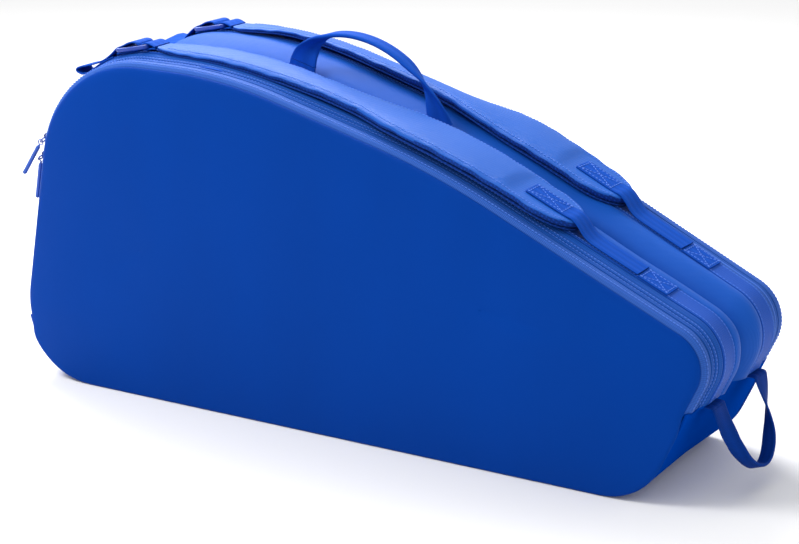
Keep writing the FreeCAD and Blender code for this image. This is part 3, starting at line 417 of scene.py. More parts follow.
def add_piece(name, mesh, materials, sharp=40.0):
    """Turn a mesh into a piece of the bag, with one material or a list of them."""
    data = bpy.data.meshes.new(name)
    mesh.to_mesh(data)
    mesh.free()
    data.shade_smooth()
    data.set_sharp_from_angle(angle=math.radians(sharp))
    for material in materials if isinstance(materials, list) else [materials]:
        data.materials.append(material)
    piece = bpy.data.objects.new(name, data)
    bpy.context.scene.collection.objects.link(piece)
    return piece


def fit(piece, body, slot, *nodes):
    """Let a piece ride on a body in place of its solids."""
    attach(piece, body)
    if nodes:
        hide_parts(*nodes)


def mirrored(piece, name):
    """The rear half's copy of a front piece."""
    mesh = bmesh.new()
    mesh.from_mesh(piece.data)
    bmesh.ops.scale(mesh, vec=(1, -1, 1), verts=mesh.verts)
    bmesh.ops.reverse_faces(mesh, faces=mesh.faces)
    return add_piece(name, mesh, list(piece.data.materials))


def swell(piece, held, cap):
    """Puff a closed piece up with the cloth solver, no point moving further than cap."""
    scene = bpy.context.scene
    rest = [vertex.co.copy() for vertex in piece.data.vertices]
    group = piece.vertex_groups.new(name="held")
    group.add(held, 1.0, "REPLACE")
    cloth = piece.modifiers.new("swell", "CLOTH")
    settings = cloth.settings
    settings.use_pressure = True
    settings.uniform_pressure_force = CLOTH_PRESSURE
    settings.effector_weights.gravity = 0
    settings.vertex_group_mass = "held"
    cloth.point_cache.frame_start = 1
    cloth.point_cache.frame_end = scene.bag_sizes.swell_steps
    for step in range(1, scene.bag_sizes.swell_steps + 1):
        scene.frame_set(step)
    seen = piece.evaluated_get(bpy.context.evaluated_depsgraph_get())
    moved = [vertex.co.copy() for vertex in seen.to_mesh().vertices]
    seen.to_mesh_clear()
    piece.modifiers.clear()
    piece.vertex_groups.clear()
    scene.frame_set(1)
    for vertex, before, after in zip(piece.data.vertices, rest, moved):
        shift = after - before
        if shift.length > cap:
            shift *= cap / shift.length
        vertex.co = before + shift


def subdivide(piece):
    """Smooth a piece with one level of applied subdivision."""
    modifier = piece.modifiers.new("smooth", "SUBSURF")
    modifier.levels = modifier.render_levels = 1
    apply_modifiers(piece)


def apply_modifiers(piece):
    """Leave a piece as a plain mesh."""
    seen = piece.evaluated_get(bpy.context.evaluated_depsgraph_get())
    mesh = bpy.data.meshes.new_from_object(seen)
    old = piece.data
    piece.modifiers.clear()
    piece.data = mesh
    mesh.name = piece.name
    bpy.data.meshes.remove(old)


# ---------------------------------------------------------------- webbing


def webbing_profile(width, thickness, ribs=8):
    """Webbing's cross-section as (across, up): flat faces and rounded edges."""
    half, thick = width / 2, thickness / 2
    edge = thick * 0.9
    flat = [-half + edge + (2 * half - 2 * edge) * k / ribs for k in range(ribs + 1)]
    top = [(u, thick) for u in flat]
    right = [(half - edge * 0.3, thick * 0.62), (half, 0), (half - edge * 0.3, -thick * 0.62)]
    bottom = [(u, -thick) for u in reversed(flat)]
    left = [(-u, v) for u, v in reversed(right)]
    return top + right + bottom + [(u, v) for u, v in left]


def rows_along(side, line, profile, depth=STRIP_MIDDLE):
    """Rows of a profile along (x, z) points of one half, at a depth."""
    return [
        [in_half(side, x + nx * v, depth + u, z + nz * v) for u, v in profile]
        for x, z, nx, nz in with_normals(line)
    ]


def laid_rows(side, path, profile):
    """Rows of a profile laid over the woven strip along (x, height over it) points."""
    spots = over_the_top()
    line = []
    for x, over in path:
        sx, sz, nx, nz = station_at(x, spots)
        rise = STRIP_RISE + over
        line.append((sx + nx * rise, sz + nz * rise))
    return rows_along(side, line, profile)


def joined(meshes):
    """Several meshes as one."""
    whole = bmesh.new()
    for mesh in meshes:
        data = bpy.data.meshes.new("part")
        mesh.to_mesh(data)
        mesh.free()
        whole.from_mesh(data)
        bpy.data.meshes.remove(data)
    return whole


# ---------------------------------------------------------------- what repeats


def add_node(tree, kind, inputs=None, **settings):
    """Add a node, set it up and link or fill its inputs."""
    node = tree.nodes.new(kind)
    for key, value in settings.items():
        setattr(node, key, value)
    for key, value in (inputs or {}).items():
        if isinstance(value, bpy.types.NodeSocket):
            tree.links.new(value, node.inputs[key])
        else:
            node.inputs[key].default_value = value
    return node


def bead_tree(name, segments, rings):
    """A tree that sets rounded beads end to end along a mesh's edges, made only once."""
    if name in bpy.data.node_groups:
        return bpy.data.node_groups[name]
    tree = bpy.data.node_groups.new(name, "GeometryNodeTree")
    tree.is_modifier = True
    sockets = {
        "Lines": "Geometry", "Pitch": "Float", "Bead Size": "Vector", "Across": "Vector",
        "Finish": "Material",
    }
    for socket, kind in sockets.items():
        tree.interface.new_socket(name=socket, in_out="INPUT", socket_type=f"NodeSocket{kind}")
    tree.interface.new_socket(name="Beads", in_out="OUTPUT", socket_type="NodeSocketGeometry")
    given = add_node(tree, "NodeGroupInput").outputs
    curve = add_node(tree, "GeometryNodeMeshToCurve", {"Mesh": given["Lines"]})
    points = add_node(
        tree,
        "GeometryNodeCurveToPoints",
        {"Curve": curve.outputs["Curve"], "Length": given["Pitch"]},
        mode="LENGTH",
    )
    along = add_node(
        tree,
        "FunctionNodeAlignRotationToVector",
        {"Vector": points.outputs["Tangent"]},
        axis="Z",
    )
    square = add_node(
        tree,
        "FunctionNodeAlignRotationToVector",
        {"Rotation": along.outputs["Rotation"], "Vector": given["Across"]},
        axis="X",
        pivot_axis="Z",
    )
    bead = add_node(
        tree, "GeometryNodeMeshUVSphere", {"Segments": segments, "Rings": rings, "Radius": 1.0}
    )
    beads = add_node(
        tree,
        "GeometryNodeInstanceOnPoints",
        {
            "Points": points.outputs["Points"],
            "Instance": bead.outputs["Mesh"],
            "Rotation": square.outputs["Rotation"],
            "Scale": given["Bead Size"],
        },
    )
    real = add_node(tree, "GeometryNodeRealizeInstances", {"Geometry": beads.outputs["Instances"]})
    painted = add_node(
        tree,
        "GeometryNodeSetMaterial",
        {"Geometry": real.outputs["Geometry"], "Material": given["Finish"]},
    )
    add_node(tree, "NodeGroupOutput", {"Beads": painted.outputs["Geometry"]})
    return tree


def beads_along(name, lines, tree, pitch, size, material, across=(0, 1, 0)):
    """Beads set along lines of points in metres, as one plain mesh."""
    mesh = bmesh.new()
    for line in lines:
        spots = [mesh.verts.new(point) for point in line]
        for pair in zip(spots, spots[1:]):
            mesh.edges.new(pair)
    data = bpy.data.meshes.new(name)
    mesh.to_mesh(data)
    mesh.free()
    guide = bpy.data.objects.new(name, data)
    bpy.context.scene.collection.objects.link(guide)
    modifier = guide.modifiers.new("beads", "NODES")
    modifier.node_group = tree
    values = {"Pitch": pitch, "Bead Size": size, "Across": across, "Finish": material}
    for socket in tree.interface.items_tree:
        if socket.name in values:
            modifier[socket.identifier] = values[socket.name]
    apply_modifiers(guide)
    guide.data.shade_smooth()
    return guide


def stitches(name, lines, body, slot="webbing"):
    """Rows of stitches along lines of points in metres."""
    sizes = bpy.context.scene.bag_sizes
    radius = sizes.thread_radius
    size = (radius * 1.2, radius, sizes.stitch_length / 2)
    tree = bead_tree("stitch_row", segments=6, rings=4)
    piece = beads_along(name, lines, tree, sizes.stitch_pitch, size, finish("sewing_thread"))
    fit(piece, body, slot)


# ---------------------------------------------------------------- finishes


def shader(name, colour, roughness, sheen, specular=0.4):
    """A new material's node tree and its shader, with its plain values set."""
    material = bpy.data.materials.new(name)
    material.use_nodes = True
    material.diffuse_color = (*colour, 1)
    surface = material.node_tree.nodes["Principled BSDF"]
    values = {
        "Base Color": (*colour, 1),
        "Roughness": roughness,
        "Sheen Weight": sheen,
        "Sheen Roughness": 0.5,
        "Sheen Tint": (0.35, 0.55, 1.0, 1),
        "Specular IOR Level": specular,
    }
    for key, value in values.items():
        surface.inputs[key].default_value = value
    return material.node_tree, surface


def two_tone(tree, surface, factor, colour, dark, light):
    """Colour the shader from a darker to a lighter shade of a colour, by a factor."""
    shades = [[min(1.0, channel * share) for channel in colour] for share in (dark, light)]
    mix = add_node(
        tree,
        "ShaderNodeMix",
        {"Factor": factor, 6: (*shades[0], 1), 7: (*shades[1], 1)},
        data_type="RGBA",
    )
    tree.links.new(mix.outputs[2], surface.inputs["Base Color"])


def maths(tree, operation, first, second):
    """One sum on two values."""
    return add_node(tree, "ShaderNodeMath", {0: first, 1: second}, operation=operation).outputs[0]


def weighed(tree, *pairs):
    """The sum of each value of (value, weight) pairs times its weight."""
    shares = [maths(tree, "MULTIPLY", value, weight) for value, weight in pairs]
    total = shares[0]
    for share in shares[1:]:
        total = maths(tree, "ADD", total, share)
    return total


def noise(tree, place, grain, detail, roughness=0.5):
    """Soft noise with blotches of about a given size in metres."""
    values = {"Vector": place, "Scale": 1 / grain, "Detail": detail, "Roughness": roughness}
    return add_node(tree, "ShaderNodeTexNoise", values).outputs["Fac"]


def ribs(tree, place, pitch, direction, wobble=0.0):
    """Even ribs of a given pitch in metres, along one axis of a place."""
    node = add_node(
        tree,
        "ShaderNodeTexWave",
        {"Vector": place, "Scale": math.pi / 10 / pitch, "Distortion": wobble, "Detail": 1.0},
        wave_type="BANDS",
        bands_direction=direction,
    )
    return node.outputs["Fac"]


def turned_place(tree, place, scale=(1, 1, 1), turn=(0, 0, 0)):
    """A place stretched or turned."""
    values = {"Vector": place, "Rotation": turn, "Scale": scale}
    return add_node(tree, "ShaderNodeMapping", values).outputs["Vector"]


def bump(tree, surface, height, distance, strength=1.0):
    """Feed a height to the shader as relief of a given depth in metres."""
    values = {"Height": height, "Distance": distance, "Strength": strength}
    relief = add_node(tree, "ShaderNodeBump", values)
    tree.links.new(relief.outputs["Normal"], surface.inputs["Normal"])


def object_place(tree):
    """Object coordinates."""
    return add_node(tree, "ShaderNodeTexCoord").outputs["Object"]


def cloth_place(tree):
    """The UV map in metres along and across a piece of cloth."""
    return add_node(tree, "ShaderNodeUVMap", uv_map="cloth").outputs["UV"]


def smooth_polyester(name, colour, ripple, roughness=0.55, sheen=0.0, specular=0.03):
    """Tight smooth polyester: a fine even weave, soft ripples and slow shade changes."""
    tree, surface = shader(name, colour, roughness, sheen, specular)
    place = object_place(tree)
    slow = noise(tree, turned_place(tree, place, (1, 1, 0.4)), grain=0.12, detail=3)
    two_tone(tree, surface, slow, colour, dark=0.88, light=1.1)
    weave_pitch, weave_weight = 0.0008, 0.04
    weft = ribs(tree, place, pitch=weave_pitch, direction="X")
    warp = ribs(tree, place, pitch=weave_pitch, direction="Z")
    waves = noise(tree, turned_place(tree, place, (1, 1, 0.45)), grain=0.07, detail=2)
    relief = weighed(tree, (weft, weave_weight), (warp, weave_weight), (waves, ripple))
    bump(tree, surface, relief, distance=0.002)
    rough = maths(tree, "ADD", maths(tree, "MULTIPLY", slow, 0.1), roughness - 0.05)
    tree.links.new(rough, surface.inputs["Roughness"])


def ribbed_tape(name, colour):
    """Grosgrain zip tape: ribs across it and a faint stripe along it."""
    tree, surface = shader(name, colour, roughness=0.6, sheen=0.02, specular=0.12)
    place = cloth_place(tree)
    across = ribs(tree, place, pitch=0.0016, direction="X", wobble=0.4)
    along = ribs(tree, place, pitch=0.0031, direction="Y")
    shade = weighed(tree, (across, 0.7), (along, 0.3))
    two_tone(tree, surface, shade, colour, dark=0.72, light=1.18)
    bump(tree, surface, shade, distance=0.00045, strength=0.8)


def strap_webbing(name, colour):
    """Nylon webbing: stripes along it, fine ribs across it and a soft fuzz."""
    tree, surface = shader(name, colour, roughness=0.6, sheen=0.0, specular=0.03)
    place = cloth_place(tree)
    stripes = ribs(tree, place, pitch=0.0082, direction="Y")
    fine = ribs(tree, place, pitch=0.0013, direction="X", wobble=0.5)
    fuzz = noise(tree, place, grain=0.0012, detail=3)
    shade = weighed(tree, (stripes, 0.35), (fine, 0.25), (fuzz, 0.4))
    two_tone(tree, surface, shade, colour, dark=0.78, light=1.22)
    bump(tree, surface, shade, distance=0.0006, strength=0.8)


def spacer_mesh(name, colour):
    """Knitted spacer mesh: rows of small light knots on the slant over dark holes."""
    tree, surface = shader(name, colour, roughness=0.75, sheen=0.05, specular=0.1)
    place = object_place(tree)
    slant = turned_place(tree, place, turn=(0, math.radians(38), 0))
    other = turned_place(tree, place, turn=(0, math.radians(-30), 0))
    first = ribs(tree, slant, pitch=0.0027, direction="X")
    second = ribs(tree, other, pitch=0.0031, direction="X")
    knots = maths(tree, "POWER", maths(tree, "MULTIPLY", first, second), 1.4)
    two_tone(tree, surface, knots, colour, dark=0.8, light=1.7)
    bump(tree, surface, knots, distance=0.0005, strength=0.6)


def woven_strip(name, colour):
    """Coarse woven strip: bright flecks over a darker ground."""
    tree, surface = shader(name, colour, roughness=0.55, sheen=0.02, specular=0.12)
    place = cloth_place(tree)
    fleck = 0.0016
    stretched = turned_place(tree, place, (1, 0.8, 1))
    grain = noise(tree, stretched, grain=fleck, detail=4, roughness=0.7)
    cross = ribs(tree, place, pitch=fleck, direction="X", wobble=1.2)
    level = ribs(tree, place, pitch=fleck, direction="Y", wobble=1.2)
    shade = weighed(tree, (cross, 0.3), (level, 0.3), (grain, 0.6))
    two_tone(tree, surface, shade, colour, dark=0.62, light=1.3)
    bump(tree, surface, shade, distance=0.0007, strength=0.8)


def moulded(name, colour, roughness, coat=0.0, grain=0.0008):
    """Moulded plastic or painted metal with a fine grain."""
    tree, surface = shader(name, colour, roughness, sheen=0.0, specular=0.5)
    surface.inputs["Coat Weight"].default_value = coat
    place = object_place(tree)
    slow = noise(tree, place, grain=0.02, detail=2)
    speckle = noise(tree, place, grain, detail=3)
    two_tone(tree, surface, slow, colour, dark=0.9, light=1.1)
    bump(tree, surface, speckle, distance=0.0001, strength=0.5)


def ripstop(name, colour):
    """Lining cloth with a raised grid."""
    tree, surface = shader(name, colour, roughness=0.7, sheen=0.2)
    place = object_place(tree)
    first, second = [
        maths(tree, "POWER", ribs(tree, place, pitch=0.005, direction=axis), 6.0)
        for axis in ("X", "Z")
    ]
    grid = maths(tree, "MAXIMUM", first, second)
    two_tone(tree, surface, grid, colour, dark=0.9, light=1.3)
    bump(tree, surface, grid, distance=0.0002)


def plain_thread(name, colour):
    """Twisted thread."""
    tree, surface = shader(name, colour, roughness=0.6, sheen=0.3)
    twist = noise(tree, object_place(tree), grain=0.0006, detail=1)
    two_tone(tree, surface, twist, colour, dark=0.8, light=1.15)


def floor_paint(name, colour):
    """Matt studio floor with hardly any grain."""
    tree, surface = shader(name, colour, roughness=0.9, sheen=0.0, specular=0.1)
    grain = noise(tree, object_place(tree), grain=0.3, detail=1)
    two_tone(tree, surface, grain, colour, dark=0.99, light=1.0)


def finish(name):
    """The material of a name."""
    return bpy.data.materials[name]


class BAG_OT_finishes(bpy.types.Operator):
    """Make the bag's procedural materials"""

    bl_idname = "bag.finishes"
    bl_label = "Finishes"

    def execute(self, context):
        paint = context.scene.bag_colours
        satin = {"ripple": 0.6, "roughness": 0.5, "sheen": 0.03, "specular": 0.1}
        strap = {"ripple": 0.35, "roughness": 0.5, "sheen": 0.05, "specular": 0.18}
        smooth_polyester("panel_polyester", paint.panel, ripple=0.5)
        smooth_polyester("roll_polyester", paint.roll, **satin)
        smooth_polyester("strap_polyester", paint.strap, **strap)
        smooth_polyester("base_laminate", paint.base, ripple=0.4, roughness=0.6, specular=0.0)
        woven_strip("woven_strip", paint.strip)
        # The panel's zip tape: a lighter copy of the ribbed tape, with a painted highlight.
        ribbed_tape("highlit_ribbed_tape", paint.tape)
        # The gusset's tape: a darker copy of the same ribbed tape, painted shade under the straps.
        ribbed_tape("shaded_ribbed_tape", paint.shaded_side_tape)
        strap_webbing("nylon_webbing", paint.webbing)
        # The grab loop: a darker copy of the strap webbing, painted shade at the narrow end.
        strap_webbing("grab_loop_shaded_webbing", paint.loop)
        spacer_mesh("spacer_mesh", paint.mesh)
        moulded("nylon_coil", paint.coil, roughness=0.45)
        moulded("moulded_acetal", paint.plastic, roughness=0.38, coat=0.1)
        moulded("painted_zinc", paint.metal, roughness=0.32, coat=0.3)
        moulded("soft_rubber", paint.pull, roughness=0.55)
        moulded("fibre_board", paint.board, roughness=0.7, grain=0.002)
        ripstop("ripstop_lining", paint.lining)
        plain_thread("sewing_thread", paint.thread)
        floor_paint("studio_floor", paint.floor)
        return {"FINISHED"}


# ---------------------------------------------------------------- outer panels


# The panel's edge as (inset from its outline, depth): rounded over the zip, and along the
# base turned down over the cord that it folds on.
PANEL_EDGE = [(0.0, 4.3), (0.4, 3.2), (1.2, 2.2), (2.6, 1.2), (4.6, 0.4), (7.2, -0.3),
              (10.5, -1.0), (14.5, -1.7), (19.0, -2.3), (24.0, -2.8)]
PANEL_HEM = [(-4.3, 4.2), (-4.9, 2.6), (-4.3, 1.3), (-2.8, 0.5), (0.2, 0.0), (4.0, -0.4),
             (9.0, -1.0), (14.0, -1.6), (19.0, -2.2), (24.0, -2.8)]
PANEL_CROWN, HEM_FADE = 2.8, 22.0
BACK_INSET = 2.4
BACK_DEPTH = SHELL_THICKNESS + FOAM_THICKNESS - 0.2
# The wall between back and edge as (inset, depth), plain and at the hem.
WALL = [((2.2, COVER_WALL - GAP), (2.2, COVER_WALL - GAP)), ((0.6, COVER_WALL), (-2.6, 4.95))]
# How far each ring is drawn in to the spine, on the panel's back and front and its lining.
BACK_SHARES = [0.985, 0.93, 0.8, 0.64, 0.48, 0.34, 0.22, 0.12, 0.05]
FRONT_SHARES = [0.03, 0.07, 0.12, 0.18, 0.25, 0.33, 0.41, 0.49, 0.57, 0.65, 0.73, 0.81, 0.88,
                0.94, 0.985]
LINING_SHARES = [0.98, 0.85, 0.7, 0.55, 0.4, 0.27, 0.16, 0.07, 0.02, 0.0]
LINING_INSET, LINING_THICKNESS = 2.6, 1.1
# Rings that the cloth solver holds: the back's rim, the wall and the edge's first six.
HELD_RINGS = 9


def panel_rows(side):
    """Rings of one outer panel, from the middle of its back over its edge to its front."""
    ring = ring_of_stations()
    hemmed = [1 - eased(z, seam_height(x) - HEM_FADE, seam_height(x)) for x, z, _, _ in ring]

    def ring_at(plain, share, hem=None):
        (inset, depth), (hem_inset, hem_depth) = plain, hem or plain
        row = []
        for station, turned_under in zip(ring, hemmed):
            in_by = inset + (hem_inset - inset) * turned_under
            back_by = depth + (hem_depth - depth) * turned_under
            x, z = drawn_in(station, -in_by, share, SPINE_Z + FOOT)
            row.append(in_half(side, x, back_by, z))
        return row

    rows = [ring_at((BACK_INSET, BACK_DEPTH), share) for share in BACK_SHARES + [0.0]]
    rows += [ring_at(plain, 0.0, hem) for plain, hem in WALL + list(zip(PANEL_EDGE, PANEL_HEM))]
    inset, face = PANEL_EDGE[-1]
    for share in FRONT_SHARES:
        rows.append(ring_at((inset, face - PANEL_CROWN * (1 - (1 - share) ** 3)), share))
    return rows


class BAG_OT_panels(bpy.types.Operator):
    """Make the two padded outer panels that fold down"""

    bl_idname = "bag.panels"
    bl_label = "Outer panels"

    def execute(self, context):
        rows = panel_rows(SIDES["front"])
        mesh = skin(rows, caps=False)
        close_holes(mesh, triangles=True)
        panel = add_piece("front_padded_panel", mesh, finish("panel_polyester"))
        rim, first = len(rows[0]), len(BACK_SHARES)
        held = list(range(first * rim, (first + HELD_RINGS) * rim))
        swell(panel, held, context.scene.bag_sizes.panel_swell)
        subdivide(panel)
        copy = mirrored(panel, "rear_padded_panel")
        for name, piece in (("front", panel), ("rear", copy)):
            fit(piece, f"{name}_cover", "shell_cloth", f"{name}_cover_shell", f"{name}_cover_foam")
        for name, side in SIDES.items():
            self.add_lining(name, side)
        return {"FINISHED"}

    def add_lining(self, name, side):
        """Lining of one panel, behind its foam."""
        ring = ring_of_stations()
        near, spine_z = SHELL_THICKNESS + FOAM_THICKNESS + GAP, SPINE_Z + 2 * WELT_RADIUS
        layers = [(near, share) for share in LINING_SHARES]
        layers += [(near + LINING_THICKNESS, share) for share in reversed(LINING_SHARES)]
        rows = []
        for depth, share in layers:
            places = [drawn_in(station, -LINING_INSET, share, spine_z) for station in ring]
            rows.append([in_half(side, x, depth, z) for x, z in places])
        mesh = skin(rows, caps=False)
        close_holes(mesh, triangles=True)
        piece = add_piece(f"{name}_panel_lining", mesh, finish("ripstop_lining"))
        fit(piece, f"{name}_cover", "lining", f"{name}_cover_lining")


# ---------------------------------------------------------------- gussets


def band_rows(side, profile, spare=SEAM_SPARE):
    """Rows of a (depth, rise) profile carried over the bag's top."""
    return [
        [raised(side, station, depth, rise) for depth, rise in profile]
        for station in over_the_top(spare)
    ]


def lines_over(side, places, spare):
    """Lines over the bag's top, one through each (depth, rise) place."""
    return list(zip(*band_rows(side, places, spare)))


def cloth_profile(outer, thickness):
    """A closed profile: the outer line and the same line one thickness further in."""
    return outer + [(depth, rise - thickness) for depth, rise in reversed(outer)]


# The gusset's zip tape and trim wear the darker tape, painted shade under the straps.
GUSSET_BANDS = {
    "zip_tape": (
        [(17.9, 3.75), (18.3, 4.15), (20.0, 4.2), (22.0, 4.15), (23.6, 4.1), (23.9, 3.9)],
        TAPE_THICKNESS, "shaded_ribbed_tape", "zip_tape", "gusset_tape",
    ),
    "trim": (
        [(24.1, 3.9), (24.3, 4.9), (25.2, 5.35), (27.0, 5.75), (28.0, 5.6), (28.4, 5.0),
         (28.9, 5.75), (29.8, 6.4), (31.5, 7.1), (33.0, 7.6), (34.0, 7.7), (34.8, 7.2)],
        TAPE_THICKNESS, "shaded_ribbed_tape", "zip_tape", "gusset_trim",
    ),
    "woven_strip": (
        [(35.1, 7.2), (35.4, 8.3), (36.4, 8.8), (40.0, 8.75), (47.5, 8.7), (55.0, 8.75),
         (58.4, 8.9), (59.4, 8.6), (59.9, 7.8)],
        SHELL_THICKNESS, "woven_strip", "gusset_webbing", "gusset_strip",
    ),
}
COVER_TAPE = [(4.9, -0.9), (5.2, 0.1), (6.0, 1.5), (7.2, 2.8), (8.6, 3.7), (10.2, 4.15),
              (12.5, 4.3), (14.5, 4.2), (15.8, 4.15), (16.1, 3.75)]
GUSSET_SEAMS = [(22.9, 4.2), (26.2, 5.65), (37.2, 8.85), (57.8, 8.95)]
COVER_SEAM = (9.4, 4.15)
# How far round from the woven strip down to the valley each of the roll's columns lies.
ROLL_SHARES = [0.0, 0.04, 0.1, 0.18, 0.28, 0.4, 0.52, 0.64, 0.75, 0.84, 0.91, 0.96, 0.99, 1.0]
ROLL_BULGE, ROLL_PUCKER, ROLL_TUCK = 1.3, 0.35, 0.8
PIPING_STEPS, PIPING_SIDES = 70, 14
COIL_OFFSET, COIL_DROP, COIL_BEAD = 2.3, 0.9, (0.0015, 0.0008)


class BAG_OT_gussets(bpy.types.Operator):
    """Make the cloth bands round both compartments"""

    bl_idname = "bag.gussets"
    bl_label = "Gussets"

    def execute(self, context):
        for name, side in SIDES.items():
            for label, (outer, thick, material, slot, node) in GUSSET_BANDS.items():
                mesh = skin(band_rows(side, cloth_profile(outer, thick)))
                clip_at_seam(mesh)
                piece = add_piece(f"{name}_gusset_{label}_cloth", mesh, finish(material))
                fit(piece, "bag", slot, f"{name}_{node}")
            mesh = skin(band_rows(side, cloth_profile(COVER_TAPE, TAPE_THICKNESS)))
            clip_at_seam(mesh)
            # The panel's zip tape wears the lighter tape, a painted highlight.
            piece = add_piece(f"{name}_cover_zip_tape", mesh, finish("highlit_ribbed_tape"))
            fit(piece, f"{name}_cover", "zip_tape", f"{name}_cover_tape")
            self.add_roll(name, side)
            self.add_seams(name, side)
            self.add_piping(name, side)
        return {"FINISHED"}

    def add_roll(self, name, side):
        """The smooth roll from the woven strip down to the valley."""
        rows = []
        for place, (x, z, nx, nz) in enumerate(over_the_top()):
            row = []
            for inset, order in ((0.0, ROLL_SHARES), (SHELL_THICKNESS, ROLL_SHARES[::-1])):
                for share in order:
                    drop = VALLEY_DEPTH * (1 - math.sqrt(1 - share**2))
                    bulge = ROLL_BULGE * math.sin(math.pi * min(1.0, share * 1.6))
                    pucker = ROLL_PUCKER * math.sin(place * 0.55) * math.sin(math.pi * share)
                    tuck = 0.0 if share else ROLL_TUCK
                    rise = STRIP_RISE - drop - inset + bulge + pucker - tuck
                    row.append(in_valley(side, x + nx * rise, z + nz * rise, share))
            rows.append(row)
        mesh = skin(rows)
        clip_at_seam(mesh)
        piece = add_piece(f"{name}_valley_roll", mesh, finish("roll_polyester"), sharp=60)
        fit(piece, "bag", "gusset_webbing", f"{name}_valley_gusset")

    def add_seams(self, name, side):
        """Stitched lines along the bands and along the panel's zip tape."""
        lines = lines_over(side, GUSSET_SEAMS, STITCH_SPARE)
        stitches(f"{name}_gusset_stitches", lines, "bag", "gusset_webbing")
        lines = lines_over(side, [COVER_SEAM], STITCH_SPARE)
        stitches(f"{name}_cover_stitches", lines, f"{name}_cover", "zip_tape")

    def add_piping(self, name, side):
        """Cord in the panel's hem that it folds down on, with rounded ends."""
        corners = rounded_corners()
        low, high = corners[5][1][0], corners[0][0][0]
        ends = [0.0, 0.3, 1.0, 2.5]
        spots = [low + e for e in ends]
        spots += [low + (high - low) * k / PIPING_STEPS for k in range(1, PIPING_STEPS)]
        spots += [high - e for e in reversed(ends)]
        rows = []
        for x in spots:
            reach = min(x - low, high - x, WELT_RADIUS)
            radius = CORD_RADIUS * math.sqrt(1 - (1 - reach / WELT_RADIUS) ** 2) + 0.02
            rows.append([
                in_half(side, x, WELT_RADIUS + radius * c, WELT_RADIUS + radius * s)
                for c, s in round_turn(PIPING_SIDES)
            ])
        piece = add_piece(f"{name}_foot_piping", skin(rows), finish("base_laminate"))
        fit(piece, "bag", "piping", f"{name}_hinge_welt")


class BAG_OT_zips(bpy.types.Operator):
    """Make the coils of both zips"""

    bl_idname = "bag.zips"
    bl_label = "Zip coils"

    def execute(self, context):
        pitch = context.scene.bag_sizes.coil_pitch
        tree = bead_tree("zip_coil", segments=8, rings=5)
        size = (*COIL_BEAD, pitch * 0.42)
        rise = ZIP_RISE - TAPE_THICKNESS - COIL_DROP
        for name, side in SIDES.items():
            across = (in_half(side, 0, 1, 0) - in_half(side, 0, 0, 0)).normalized()
            for label, way, body in (("gusset", 1, "bag"), ("cover", -1, f"{name}_cover")):
                lines = lines_over(side, [(ZIP_LINE + way * COIL_OFFSET, rise)], COIL_SPARE)
                coil = f"{name}_{label}_zip_coil"
                piece = beads_along(
                    coil, lines, tree, pitch, size, finish("nylon_coil"), tuple(across)
                )
                fit(piece, body, "zip_coil", f"{name}_{label}_coil")
        return {"FINISHED"}


# ---------------------------------------------------------------- base and divider


# The base's columns from each side to the middle plane, and how far its edge is tucked in.
BASE_SHARES = [0.0, 0.008, 0.03, 0.08, 0.2, 0.4, 0.6, 0.8, 1.0]
BASE_TUCK = {0.0: 0.9, 0.008: 0.25}
LIP_PROFILE = [(5.3, -0.9), (6.5, 1.9), (8.6, 3.4), (10.5, 4.0), (24.0, 4.0), (25.0, 5.2),
               (28.0, 5.4), (33.0, 7.4), (35.0, 8.0), (59.8, 8.2), (59.8, 0.6), (35.0, 0.6),
               (10.5, 0.6), (5.3, -1.6)]
LIP_HEIGHT = 3.0
# The divider's rings up to its rim as (depth, rise, share of the way to the spine).
DIVIDER_LAYERS = [(-1.2, -0.6, 0.96), (-1.4, -0.6, 0.8), (-1.6, -0.6, 0.6), (-1.8, -0.6, 0.4),
                  (-1.9, -0.6, 0.2), (-1.9, -0.54, 0.06), (-1.2, -0.12, 0.0), (0.0, 0.0, 0.0)]
DIVIDER_DROP = 1.8


